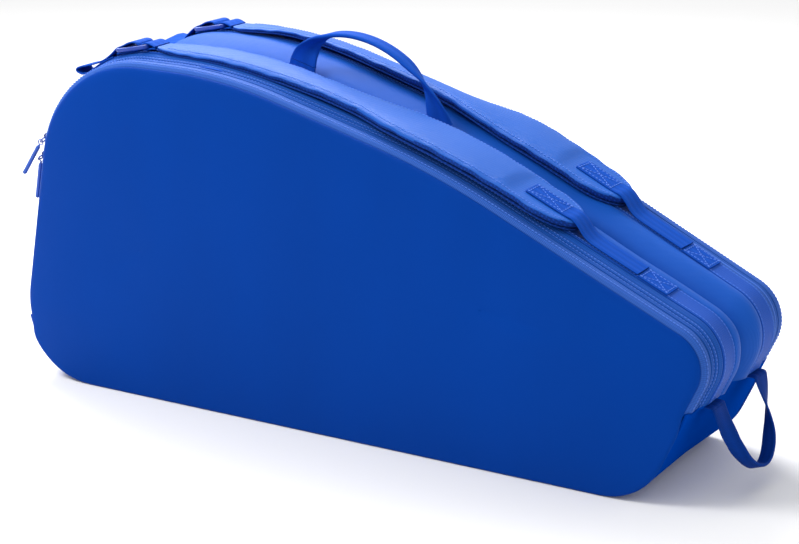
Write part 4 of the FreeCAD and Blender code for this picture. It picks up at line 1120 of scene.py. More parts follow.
class BAG_OT_base(bpy.types.Operator):
    """Make the base panel, the gussets' lips and the padded divider"""

    bl_idname = "bag.base"
    bl_label = "Base and divider"

    def execute(self, context):
        self.add_base()
        self.add_lips()
        self.add_divider()
        for name in SIDES:
            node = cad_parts[f"{name}_base_board"]
            node.data.materials.clear()
            node.data.materials.append(finish("fibre_board"))
        return {"FINISHED"}

    def wrap_rows(self):
        """Rows across the whole base, from the wide end's seam under to the narrow one."""
        outer = ring_of_stations(BASE_RISE, FOOT)
        inner = ring_of_stations(BASE_RISE - BASE_THICKNESS, FOOT - BASE_THICKNESS)
        low = [k for k, (x, z, _, _) in enumerate(outer) if z < seam_height(x) + SEAM_SPARE]
        cut = next(k for k, (a, b) in enumerate(zip(low, low[1:])) if b != a + 1)
        columns = [(-1, share) for share in BASE_SHARES]
        columns += [(1, share) for share in reversed(BASE_SHARES[:-1])]
        rows = []
        for k in low[cut + 1 :] + low[: cut + 1]:
            row = []
            layers = ((outer[k], columns, BASE_TUCK), (inner[k], columns[::-1], {}))
            for station, order, tucks in layers:
                span = middle_depth(station[0]) - COVER_WALL
                for side, share in order:
                    depth = COVER_WALL + GAP + span * share
                    row.append(raised(side, station, depth, -tucks.get(share, 0.0)))
            rows.append(row)
        return rows

    def add_base(self):
        """Laminated base that wraps up both ends to its seam."""
        mesh = skin(self.wrap_rows())
        clip_at_seam(mesh, away=1)
        piece = add_piece("base_wrap", mesh, finish("base_laminate"))
        fit(piece, "bag", "shell_cloth", "base_panel")

    def add_lips(self):
        """The turned-in lip that each end of the gussets is sewn to."""
        for name, side in SIDES.items():
            mesh = skin(band_rows(side, LIP_PROFILE))
            clip_at_seam(mesh, lift=-GAP, away=1)
            clip_at_seam(mesh, lift=-LIP_HEIGHT)
            piece = add_piece(f"{name}_gusset_lip", mesh, finish("base_laminate"))
            fit(piece, "bag", "shell_cloth")

    def add_divider(self):
        """Padded wall between the compartments."""
        ring = ring_of_stations(STRIP_RISE - VALLEY_DEPTH, DIVIDER_DROP)
        far_side = [(-depth, rise, share) for depth, rise, share in DIVIDER_LAYERS[-2::-1]]
        rows = []
        for depth, rise, share in DIVIDER_LAYERS + far_side:
            places = [drawn_in(station, rise, share, SPINE_Z) for station in ring]
            rows.append([Vector((x, depth, z)) / 1000 for x, z in places])
        mesh = skin(rows, caps=False)
        close_holes(mesh, triangles=True)
        piece = add_piece("padded_divider", mesh, finish("ripstop_lining"))
        fit(piece, "bag", "lining", "divider_panel")


# ---------------------------------------------------------------- shoulder straps


# The pad's reach to its outer and its inner side, as (distance from its start, reach).
PAD_OUTER = [(0, 12.5), (30, 17), (123, 19), (217, 21), (265, 31.5), (320, 33.5), (397, 31.5)]
PAD_INNER = [(0, 12.5), (30, 17), (123, 19), (217, 21), (282, 31.5), (337, 33.5), (397, 31.5)]
PAD_PITCH, PAD_STEPS, TIP_LENGTH = 5.0, 32, 22.0
PAD_TIP_STEPS = (19, 15, 11.5, 8.5, 6, 4, 2.4, 1.2, 0.5, 0.12)
EDGE_PUCKER = 0.8
# Smooth cloth lies where the pad's face points up by more than this, and mesh elsewhere.
CLOTH_LIMIT = 0.12
# How far the pad's cloth may stand over its height, and how far its sewn box is pressed down.
PAD_CROWN, BOX_SINK = 1.5, 4.2
# What the lie of each strap does: the front one droops at its outer edge near the ladder lock,
# and the rear one leans, hangs over the strip's edge and is pressed thinner there.
FRONT_DROOP = 3.8
REAR_LEAN, REAR_HANG, REAR_PRESS = 0.13, 2.6, 0.5
# The pad's cloth starts this much slimmer than its solid, and the solver puffs it up.
PAD_SLACK = 1.0
MESH_HALF, MESH_INSET = 1.2, 1.3
# Heights of the webbing's middle over the pad and over the woven strip, and of the thread
# over the pad's box, the pad's edge and the woven strip.
WEBBING_LIFT, SEWN_LIFT = 0.9, 1.1
BOX_THREAD, EDGE_THREAD, SEWN_THREAD = 1.85, 0.15, 2.05
BOX_INSET, EDGE_INSET = 2.6, 5.5


def half_width(x, plan):
    """How far the pad reaches to one side of its middle, at x."""
    along = x - PAD_START
    end, wide = plan[-1]
    if along > end:
        share = (along - end) / (PAD_TIP - PAD_START - end)
        return wide * math.sqrt(max(0.0, 1 - share**2.2))
    run = smooth_run(plan, 8)
    for first, second in zip(run, run[1:]):
        if first[0] <= along <= second[0]:
            share = (along - first[0]) / max(second[0] - first[0], 1e-6)
            return first[1] + (second[1] - first[1]) * share
    return run[0][1]


def pad_stations():
    """X of each section of the pad, closer together at its tip."""
    count = math.ceil((PAD_TIP - PAD_START - TIP_LENGTH) / PAD_PITCH)
    spots = [PAD_START + step * PAD_PITCH for step in range(count)]
    return spots + [PAD_TIP - far for far in PAD_TIP_STEPS]


def pad_height(x):
    """Height of the pad's top over the strip; it thins toward the buckle."""
    thinned = max(0.0, PAD_THIN_X - x) * math.tan(PAD_THIN_ANGLE)
    return PAD_LOW + PAD_THICKNESS - thinned


def drape(side, x, across, over):
    """How far the lie of a strap takes it up or down from flat, in millimetres."""
    outwards = -across
    if side < 0:
        share = eased(x, -222, -190) * (1 - eased(x, -110, -20))
        return -FRONT_DROOP * share * min(1.0, max(0.0, (outwards - 5) / 13))
    share = eased(x, -215, -140) * (1 - eased(x, 30, 120))
    hang = REAR_HANG * min(1.0, max(0.0, (outwards - 12.5) / 14))
    pressed = REAR_PRESS * max(0.0, over - PAD_LOW) * eased(outwards, -20, 34)
    return share * (REAR_LEAN * (across + 12.5) - hang - pressed)


def squared(value, power):
    """A sine or cosine pushed outwards, to make a round section squarer."""
    return math.copysign(abs(value) ** power, value)


def pad_section(x, low, high, inset):
    """One section of the pad as (across, height over the strip), rounded at its sides."""
    outer, inner = [max(half_width(x, plan) - inset, 0.4) for plan in (PAD_OUTER, PAD_INNER)]
    ease = min(1.0, (x - PAD_START + 4) / 10, (PAD_TIP - x + 1.5) / 12)
    middle, half = (low + high) / 2, (high - low) / 2 * (0.45 + 0.55 * max(0.0, ease))
    return [
        (squared(c, 0.34) * (inner if c > 0 else outer), middle + squared(s, 0.58) * half)
        for c, s in round_turn(PAD_STEPS)
    ]


def on_strap(side, station, across, over):
    """A point over the woven strip at a station, in metres."""
    return raised(side, station, STRIP_MIDDLE + across, STRIP_RISE + over)


def strap_rows(side, low, high, inset, draped=False):
    """Rows of the pad's sections laid over the strip, between a height and one at x."""
    spots = over_the_top()
    rows = []
    for x in pad_stations():
        station = station_at(x, spots)
        row = []
        for across, over in pad_section(x, low, high(x), inset):
            if draped:
                over += drape(side, x, across, over)
            row.append(on_strap(side, station, across, over))
        rows.append(row)
    return rows


def pad_top(pad, side, x, across):
    """Height over the strip of a finished pad's top at a place, in millimetres."""
    station, above = station_at(x, over_the_top()), 60
    origin, foot = [on_strap(side, station, across, over) for over in (above, 0)]
    hit, where, _, _ = pad.ray_cast(origin, (foot - origin).normalized())
    return above - (where - origin).length * 1000 if hit else pad_height(x)


def over_pad(pad, side, places, lift):
    """A line of points a little over a finished pad, through (x, across) places."""
    spots = over_the_top()
    line = []
    for x, across in places:
        over = pad_top(pad, side, x, across) + lift
        line.append(on_strap(side, station_at(x, spots), across, over))
    return line


class BAG_OT_straps(bpy.types.Operator):
    """Make both padded shoulder straps and their webbing"""

    bl_idname = "bag.straps"
    bl_label = "Shoulder straps"

    def execute(self, context):
        cloths = [finish("strap_polyester"), finish("spacer_mesh")]
        rows = strap_rows(
            SIDES["front"], PAD_LOW + 0.2, lambda x: pad_height(x) - PAD_SLACK, PAD_SLACK
        )
        pad = add_piece("front_strap_padding", skin(rows), cloths, sharp=180)
        seams = [(side + near) % PAD_STEPS for side in (0, PAD_STEPS // 2) for near in (-1, 0, 1)]
        held = [row * PAD_STEPS + place for row in range(len(rows)) for place in seams]
        held += range(2 * PAD_STEPS)
        swell(pad, held, context.scene.bag_sizes.strap_swell)
        self.press(pad)
        copy = mirrored(pad, "rear_strap_padding")
        for name, side in SIDES.items():
            piece = pad if side < 0 else copy
            self.lay(piece, side)
            self.part_cloth(piece)
            subdivide(piece)
            fit(piece, f"{name}_strap", "shell_cloth", f"{name}_strap_pad")
            self.add_mesh(name, side)
            self.add_webbing(name, side, piece)
            self.add_stitches(name, side, piece)
        self.add_keeper()
        return {"FINISHED"}

    def press(self, pad):
        """Press the pad's tip down under its sewn webbing, and keep its underside flat."""
        spots = over_the_top()
        for vertex in pad.data.vertices:
            x = vertex.co.x * 1000
            if not PAD_START < x < PAD_TIP:
                continue
            sx, sz, nx, nz = station_at(x, spots)
            up = Vector((nx, 0, nz))
            over = (vertex.co - in_half(-1, sx, STRIP_MIDDLE, sz)).dot(up) * 1000 - STRIP_RISE
            most = pad_height(x) + PAD_CROWN - BOX_SINK * eased(x, PAD_BOX_X - 14, PAD_BOX_X)
            kept = max(min(over, most), PAD_LOW + GAP)
            vertex.co += up * (kept - over) / 1000

    def lay(self, pad, side):
        """Let the pad lie as its half's strap does."""
        spots = over_the_top()
        turn = -side * HALF_TAPER
        for vertex in pad.data.vertices:
            x, y = vertex.co.x * 1000, vertex.co.y * 1000 - side * HALF_DEPTH
            along = x * math.cos(turn) + y * math.sin(turn)
            depth = -side * (y * math.cos(turn) - x * math.sin(turn))
            at = min(max(along, PAD_START), PAD_TIP)
            sx, sz, nx, nz = station_at(at, spots)
            up = Vector((nx, 0, nz))
            over = (vertex.co - in_half(side, sx, depth, sz)).dot(up) * 1000 - STRIP_RISE
            across = depth - STRIP_MIDDLE
            edge = half_width(at, PAD_INNER if across > 0 else PAD_OUTER)
            pucker = math.sin(at * 0.23) * math.sin(at * 0.071 + 1.3) * EDGE_PUCKER
            pucker *= eased(abs(across), edge - 9, edge)
            vertex.co += up * (drape(side, at, across, over) + pucker) / 1000

    def part_cloth(self, pad):
        """Smooth cloth on the pad's top and over its edge, mesh below that."""
        for face in pad.data.polygons:
            face.material_index = 0 if face.normal.z > CLOTH_LIMIT else 1

    def add_mesh(self, name, side):
        """Spacer mesh sewn under the pad."""
        rows = strap_rows(
            side, PAD_LOW - MESH_HALF, lambda x: PAD_LOW + MESH_HALF, MESH_INSET, draped=True
        )
        piece = add_piece(f"{name}_strap_underside", skin(rows), finish("spacer_mesh"), sharp=60)
        fit(piece, f"{name}_strap", "strap_mesh", f"{name}_strap_mesh")

    def add_webbing(self, name, side, pad):
        """Webbing from the pad's top down to its sewn end on the gusset."""
        sewn = (166, 176, 186, 196, 204, 211)
        path = [(x, pad_top(pad, side, x, 0) + WEBBING_LIFT) for x in sewn]
        path += [(218, 9.6), (224, 5.8), (230, 3.4), (237, 2.5), (258, 2.4), (278.6, 2.4)]
        profile = webbing_profile(WEBBING_WIDTH, WEBBING_THICKNESS)
        rows = laid_rows(side, smooth_run(path, 4), profile)
        piece = add_piece(f"{name}_strap_ribbon", skin(rows), finish("nylon_webbing"), sharp=50)
        fit(piece, f"{name}_strap", "webbing", f"{name}_strap_webbing")
        root = [(HINGE_X + far, SEWN_LIFT) for far in (0.3, 10, 20, BOX_LENGTH)]
        rows = laid_rows(side, smooth_run(root, 3), profile)
        piece = add_piece(f"{name}_strap_sewn_end", skin(rows), finish("nylon_webbing"), sharp=50)
        fit(piece, "bag", "webbing", f"{name}_strap_anchor")

    def box_places(self, start, end):
        """Lines of (x, across) places: a box with its two diagonals."""
        half = WEBBING_WIDTH / 2 - BOX_INSET
        corners = [(start, -half), (end, -half), (end, half), (start, half)]
        pairs = list(zip(corners, corners[1:] + corners[:1]))
        pairs += [(corners[0], corners[2]), (corners[1], corners[3])]
        return [
            [tuple(a + (b - a) * step / 8 for a, b in zip(first, last)) for step in range(9)]
            for first, last in pairs
        ]

    def add_stitches(self, name, side, pad):
        """Stitches along the pad's edges and in the two boxes."""
        spots = over_the_top()
        lines = [
            over_pad(pad, side, places, BOX_THREAD)
            for places in self.box_places(PAD_BOX_X + 2, PAD_BOX_X + 34)
        ]
        for inset in (EDGE_INSET, -EDGE_INSET):
            plan = PAD_INNER if inset > 0 else PAD_OUTER
            places = [
                (x, math.copysign(half_width(x, plan) - abs(inset), inset))
                for x in pad_stations()[3:-7]
            ]
            lines.append(over_pad(pad, side, places, EDGE_THREAD))
        stitches(f"{name}_strap_stitches", lines, f"{name}_strap")
        lines = [
            [on_strap(side, station_at(x, spots), across, SEWN_THREAD) for x, across in places]
            for places in self.box_places(HINGE_X + 2.5, HINGE_X + BOX_LENGTH - 2)
        ]
        stitches(f"{name}_anchor_stitches", lines, "bag")

    def add_keeper(self):
        """Small folded loop of tape that peeps out under the front strap's outer edge."""
        line = smooth_run([(-160, 333.6), (-150, 333.2), (-140, 332.4), (-136.2, 330.9),
                           (-137.0, 329.2), (-142, 328.9), (-152, 330.6), (-160, 332.2)], 4)
        rows = rows_along(-1, line, webbing_profile(9.0, 0.7, 4), 25.5)
        piece = add_piece("front_strap_keeper", skin(rows), finish("nylon_webbing"), sharp=60)
        fit(piece, "bag", "webbing")


# ---------------------------------------------------------------- buckles


CORNER_STEPS = 5
LOCK_THICKNESS, LOCK_BEVEL, LOCK_CORNER = 4.2, 1.1, 5.0
SLOT_BOX, SLOT_X = (5.6, 13.2, 1.6), 8.4
LOCK_SINK, LIP_START, LIP_LENGTH, LIP_RISE = 1.0, -13.0, 6.0, 1.2
# The rear tail's folded end as (x, z, width, lean in degrees).
FOLDED_END = [(-288, 322.6, 19, 8), (-295, 321.2, 22, 16), (-302, 320.4, 24, 22),
              (-308, 319.2, 21, 24), (-315, 317.0, 14, 22), (-321, 315.0, 8, 18),
              (-325, 313.8, 3, 12)]


def by_lock(along, up):
    """An (x, z) point of a half, from its place along and over the ladder lock."""
    c, s = math.cos(LOCK_TILT), math.sin(LOCK_TILT)
    return LOCK_X + along * c - up * s, strip_height(LOCK_X, LOCK_LIFT) + along * s + up * c


def lock_matrix(side):
    """Place of the ladder lock: X along the strap, Y to the rear, Z up."""
    (x, z), (ahead_x, ahead_z) = by_lock(0, 0), by_lock(1, 0)
    middle = in_half(side, x, STRIP_MIDDLE, z)
    along = (in_half(side, ahead_x, STRIP_MIDDLE, ahead_z) - middle).normalized()
    across = (in_half(side, x, STRIP_MIDDLE + 1, z) - middle).normalized() * -side
    return axes(middle, along, across, along.cross(across))


def rounded_box(half_x, half_y, radius, middle_x=0.0):
    """Points round a rectangle with rounded corners."""
    points = []
    for number, (sx, sy) in enumerate(((1, 1), (-1, 1), (-1, -1), (1, -1))):
        for step in range(CORNER_STEPS + 1):
            angle = math.pi / 2 * (number + step / CORNER_STEPS)
            x = sx * (half_x - radius) + radius * math.cos(angle)
            y = sy * (half_y - radius) + radius * math.sin(angle)
            points.append((middle_x + x, y))
    return points


def plate(outlines, thickness, bevel):
    """A flat moulded plate in millimetres: the first outline less the others."""
    curve = bpy.data.curves.new("plate", "CURVE")
    curve.dimensions = "2D"
    curve.fill_mode = "BOTH"
    curve.extrude = thickness / 2 - bevel
    curve.bevel_depth = bevel
    curve.bevel_resolution = 2
    curve.offset = -bevel
    for points in outlines:
        spline = curve.splines.new("POLY")
        spline.points.add(len(points) - 1)
        for spot, (x, y) in zip(spline.points, points):
            spot.co = (x, y, 0, 1)
        spline.use_cyclic_u = True
    holder = bpy.data.objects.new("plate", curve)
    bpy.context.scene.collection.objects.link(holder)
    seen = holder.evaluated_get(bpy.context.evaluated_depsgraph_get())
    mesh = bmesh.new()
    mesh.from_mesh(seen.to_mesh())
    seen.to_mesh_clear()
    bpy.data.objects.remove(holder)
    bpy.data.curves.remove(curve)
    bmesh.ops.remove_doubles(mesh, verts=mesh.verts, dist=1e-4)
    bmesh.ops.recalc_face_normals(mesh, faces=mesh.faces)
    return mesh


def set_in(mesh, matrix):
    """Move a mesh in millimetres to its place in metres."""
    bmesh.ops.transform(mesh, matrix=matrix @ Matrix.Scale(0.001, 4), verts=mesh.verts)
    if matrix.determinant() < 0:
        bmesh.ops.reverse_faces(mesh, faces=mesh.faces)


def axes(middle, x_axis, y_axis, z_axis):
    """A matrix from a point and three axes."""
    columns = [x_axis.to_4d(), y_axis.to_4d(), z_axis.to_4d(), middle.to_4d()]
    for column in columns[:3]:
        column.w = 0
    return Matrix(columns).transposed()


class BAG_OT_buckles(bpy.types.Operator):
    """Make the ladder locks and the webbing that runs through them"""

    bl_idname = "bag.buckles"
    bl_label = "Buckles"

    def execute(self, context):
        for name, side in SIDES.items():
            self.add_lock(name, side)
            self.add_webbing(name, side)
        return {"FINISHED"}

    def add_lock(self, name, side):
        """Ladder lock: end bars, a middle bar and a raised lip to pull."""
        outlines = [rounded_box(LOCK_LENGTH / 2, LOCK_WIDTH / 2, LOCK_CORNER)]
        outlines += [rounded_box(*SLOT_BOX, middle_x) for middle_x in (SLOT_X, -SLOT_X)]
        mesh = plate(outlines, LOCK_THICKNESS, LOCK_BEVEL)
        bmesh.ops.subdivide_edges(mesh, edges=mesh.edges, cuts=1, use_grid_fill=True)
        for vertex in mesh.verts:
            past = max(0.0, LIP_START - vertex.co.x)
            vertex.co.z += LIP_RISE * (past / LIP_LENGTH) ** 1.5 - LOCK_SINK
        set_in(mesh, lock_matrix(side))
        bmesh.ops.recalc_face_normals(mesh, faces=mesh.faces)
        piece = add_piece(f"{name}_ladder_lock_frame", mesh, finish("moulded_acetal"), sharp=45)
        fit(piece, f"{name}_buckle", "buckle", f"{name}_ladder_lock")

    def add_webbing(self, name, side):
        """The pad's loop, the lower webbing, and the run over the bar to the tail."""
        wide = webbing_profile(WEBBING_WIDTH, WEBBING_THICKNESS)
        x, low = PAD_START - 0.5, strip_height(PAD_START, PAD_LOW)
        loop = [(x, low + 0.6), by_lock(22, -3.6), by_lock(17, -4.1), by_lock(12.4, -3.4),
                by_lock(10.8, -1.0), by_lock(12.2, 1.4), by_lock(16.5, 2.1), by_lock(21.0, 0.9),
                (x, low + 2.6)]
        rows = rows_along(side, smooth_run(loop, 5), wide)
        piece = add_piece(f"{name}_lock_loop", skin(rows), finish("nylon_webbing"), sharp=50)
        fit(piece, f"{name}_strap", "webbing", f"{name}_strap_loop")
        lower = [(x, SEWN_LIFT) for x in (ANCHOR_X, -310, -298, -286, -276, LOCK_X - 19.5)]
        rows = laid_rows(side, smooth_run(lower, 3), wide)
        piece = add_piece(f"{name}_lower_ribbon", skin(rows), finish("nylon_webbing"), sharp=50)
        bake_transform(piece)
        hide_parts(f"{name}_lower_webbing")
        wrap = [by_lock(*spot) for spot in (
            (-20, -4.0), (-12, -4.3), (-3, -4.2), (3.2, -3.9), (6.4, -2.2), (7.4, 0.4),
            (5.8, 3.4), (1.0, 4.9), (-4.5, 4.6), (-9.5, 3.2), (-14, 2.2), (-19, 1.2),
        )]
        if side < 0:
            wrap += [(-275, 331.5), (-284, 325.0), (-295, 320.4), (-306, 317.2), (-315, 314.8),
                     (-318.4, 312.0), (-316, 309.4), (-310.5, 308.4), (-305.5, 310.4)]
        else:
            wrap += [(-275, 332.5), (-281, 326.5)]
        rows = rows_along(side, smooth_run(wrap, 5), wide)
        if side > 0:
            rows += self.folded_end()
        tail = f"{name}_strap_tail_ribbon"
        piece = add_piece(tail, skin(rows), finish("nylon_webbing"), sharp=60)
        fit(piece, f"{name}_buckle", "webbing", f"{name}_strap_tail")

    def folded_end(self):
        """Rows of the rear tail's end, folded over to a corner that stands up."""
        rows = []
        for x, z, width, lean in FOLDED_END:
            c, s = math.cos(math.radians(lean)), math.sin(math.radians(lean))
            rows.append([
                in_half(1, x, STRIP_MIDDLE + u * c + v * s, z - u * s + v * c)
                for u, v in webbing_profile(width, WEBBING_THICKNESS * 1.5)
            ])
        return rows


# ---------------------------------------------------------------- zip pulls


# Each pull as it hangs: its place along the zip, its ring's angle, its tab's angle and the
# side of the ring that the tab hangs from.
PULLS = {
    "lower": (-7.5, math.radians(37.0), math.radians(0.0), -1),
    "upper": (11.0, math.radians(28.0), math.radians(18.0), 1),
}
TAB_SIDE = 2.4
SLIDER_PLAN = [(6.0, 0), (5.4, 3.2), (3.0, 4.4), (-1.0, 4.2), (-4.4, 3.2), (-6.0, 1.6),
               (-6.0, -1.6), (-4.4, -3.2), (-1.0, -4.2), (3.0, -4.4), (5.4, -3.2), (6.0, 0)]
SLIDER_ARCH = [(-2.8, 1.7), (-3.0, 4.0), (-2.4, 6.2), (0, 7.3), (2.4, 6.2), (3.0, 4.0),
               (2.8, 1.7)]
SLIDER_LIFT, COIL_THICKNESS, PLATE_BEVEL = 0.5, 1.8, 0.4
ARCH_WIRE, RING_WIRE = (0.75, 1.45), (0.78, 0.78)
EYE_RADIUS, EYE_WIRE = 2.75, (0.55, 0.75)
# The tab's grip as (x, half width, half thickness): its root, one rib, and its end.
TAB_ROOT = [(-3.0, 0.7, 0.7), (-4.2, 0.8, 1.0), (-5.5, 1.5, 1.5), (-7.0, 2.0, 1.9)]
TAB_RIB = [(0.0, 2.15, 1.95), (-0.8, 2.15, 1.95), (-1.2, 1.85, 1.65), (-1.8, 1.85, 1.65)]
TAB_END = [(-40.0, 2.15, 1.95), (-41.2, 1.8, 1.6), (-41.9, 1.0, 0.9), (-42.0, 0.3, 0.3)]
RIB_START, RIB_PITCH, RIB_COUNT = -8.0, 2.2, 15


def track_frame(side, along):
    """Place of a slider on the zip's tape, by its distance up from the crown's lower end."""
    centre, radius = rounded_corners(ZIP_RISE)[4][2:4]
    lean = WIDE_LEAN + max(along, 0.0) / radius
    up = (math.sin(lean), math.cos(lean))
    outward = (-math.cos(lean), math.sin(lean))
    x, z = [c + o * radius + u * min(along, 0.0) for c, o, u in zip(centre, outward, up)]
    middle = in_half(side, x, ZIP_LINE, z)
    x_axis = (in_half(side, x + up[0], ZIP_LINE, z + up[1]) - middle).normalized()
    z_axis = (in_half(side, x + outward[0], ZIP_LINE, z + outward[1]) - middle).normalized()
    return axes(middle, x_axis, z_axis.cross(x_axis), z_axis)


def pull_frames(side, along, ring_angle, tab_angle, shift):
    """Matrices of the slider, its ring and its tab, in metres."""
    track = track_frame(side, along)
    lift = Matrix.Translation((0, 0, RING_HEIGHT / 1000))
    ring = track @ lift @ Matrix.Rotation(ring_angle, 4, "Y")
    reach = RING_RADIUS + math.sqrt(RING_RADIUS**2 - shift**2)
    hook = Matrix.Translation(Vector((-reach, shift, 0)) / 1000)
    tab = ring @ hook @ Matrix.Rotation(tab_angle - ring_angle, 4, "Y")
    return track, ring, tab


def wire_ring(middle, radius, wire, second, off, steps, sides):
    """Rows round a ring of wire in the plane of X and a second axis, thick along a third."""
    rows = []
    for c, s in round_turn(steps):
        facing = X_AXIS * c + second * s
        rows.append([
            middle + facing * (radius + wire[0] * across) + off * (wire[1] * up)
            for across, up in round_turn(sides)
        ])
    return rows


class BAG_OT_pulls(bpy.types.Operator):
    """Make the sliders with their rings and pull tabs"""

    bl_idname = "bag.pulls"
    bl_label = "Zip pulls"

    def execute(self, context):
        for name, side in SIDES.items():
            for end, (along, ring_angle, tab_angle, hand) in PULLS.items():
                shift = side * hand * TAB_SIDE
                track, ring, tab = pull_frames(side, along, ring_angle, tab_angle, shift)
                self.add_slider(f"{name}_{end}", track)
                self.add_ring(f"{name}_{end}", ring)
                self.add_tab(f"{name}_{end}", tab)
        return {"FINISHED"}

    def add_slider(self, label, track):
        """Tapered plates, the post between them and an arched bridge."""
        plan = smooth_run(SLIDER_PLAN, 3)[:-1]
        high = SLIDER_LIFT + SLIDER_PLATE / 2
        low = -(TAPE_THICKNESS + COIL_THICKNESS + high)
        parts = []
        for z in (high, low):
            parts.append(plate([plan], SLIDER_PLATE, PLATE_BEVEL))
            bmesh.ops.translate(parts[-1], vec=(0, 0, z), verts=parts[-1].verts)
        post = plate([rounded_box(2.0, 0.5, 0.45)], 4.2, 0.1)
        bmesh.ops.translate(post, vec=(0, 0, low / 2 + 0.6), verts=post.verts)
        rows = [
            [
                Vector((x + nx * ARCH_WIRE[0] * c, ARCH_WIRE[1] * s, z + nz * ARCH_WIRE[0] * c))
                for c, s in round_turn(10)
            ]
            for x, z, nx, nz in with_normals(smooth_run(SLIDER_ARCH, 4))
        ]
        merged = joined((*parts, post, skin(rows)))
        set_in(merged, track)
        piece = add_piece(f"{label}_zip_slider", merged, finish("painted_zinc"), sharp=40)
        fit(piece, f"{label}_runner", "zip_metal", f"{label}_slider")

    def add_ring(self, label, place):
        """Drawn-wire ring that reaches back from the slider's bridge."""
        middle = X_AXIS * -RING_RADIUS
        rows = wire_ring(middle, RING_RADIUS, RING_WIRE, Y_AXIS, Z_AXIS, steps=32, sides=10)
        mesh = skin(rows, closed_rows=True)
        set_in(mesh, place)
        piece = add_piece(f"{label}_ring_wire", mesh, finish("painted_zinc"), sharp=60)
        fit(piece, f"{label}_ring", "zip_metal", f"{label}_pull_ring")

    def add_tab(self, label, place):
        """Moulded tab: a round eye, a waist and a ribbed rounded grip."""
        rows = wire_ring(Vector(), EYE_RADIUS, EYE_WIRE, Z_AXIS, Y_AXIS, steps=24, sides=8)
        eye = skin(rows, closed_rows=True)
        run = list(TAB_ROOT)
        for rib in range(RIB_COUNT):
            start = RIB_START - rib * RIB_PITCH
            run += [(start + x, wide, thick) for x, wide, thick in TAB_RIB]
        section = [(squared(c, 0.6), squared(s, 0.6)) for c, s in round_turn(16)]
        grip = [
            [Vector((x, wide * across, thick * up)) for across, up in section]
            for x, wide, thick in run + TAB_END
        ]
        merged = joined((eye, skin(grip)))
        set_in(merged, place)
        piece = add_piece(f"{label}_tab_grip", merged, finish("soft_rubber"), sharp=35)
        fit(piece, f"{label}_tab", "pull_tab", f"{label}_pull_tab")


# ---------------------------------------------------------------- handle and loop


ARCH_STEPS, TWIST_SHARE, ARCH_RIBS = 64, 0.3, 10


def bezier(points, share):
    """A point of a cubic Bezier curve, and its direction there."""
    rest = 1 - share
    weights = (rest**3, 3 * rest**2 * share, 3 * rest * share**2, share**3)
    slopes = (-3 * rest**2, 3 * rest * (rest - 2 * share), 3 * share * (2 * rest - share),
              3 * share**2)
    where = sum((point * weight for point, weight in zip(points, weights)), Vector())
    along = sum((point * slope for point, slope in zip(points, slopes)), Vector())
    return where, along.normalized()


def rows_through(middles, across, up, profile):
    """Rows of a profile round points in millimetres, all of them facing the same way."""
    return [[(middle + across * u + up * v) / 1000 for u, v in profile] for middle in middles]


def twisted_arch(points, fold, normal, width, grip, thickness):
    """Rows of webbing along a curve: folded down at both ends, turned and doubled between."""
    rows = []
    for step in range(ARCH_STEPS + 1):
        share = step / ARCH_STEPS
        where, along = bezier(points, share)
        from_end = min(share, 1 - share)
        twist = eased(from_end, 0.0, TWIST_SHARE)
        end_fold = fold if share < 1 / 2 else -fold
        end_along = fold.cross(normal) if share < 1 / 2 else normal.cross(fold)
        if end_along.dot(along) < 0:
            end_along, end_fold = -end_along, -end_fold
        in_plane = (normal.cross(along) * twist + end_fold * (1 - twist)).normalized()
        along = (along * twist + end_along * (1 - twist)).normalized()
        turn = twist * math.pi / 2
        across = in_plane * math.cos(turn) + normal * math.sin(turn)
        up = along.cross(across).normalized()
        wide = width + (grip - width) * min(1.0, 2 * from_end / TWIST_SHARE)
        profile = webbing_profile(wide, thickness * (1 + twist), ARCH_RIBS)
        rows += rows_through([where], across, up, profile)
    return rows


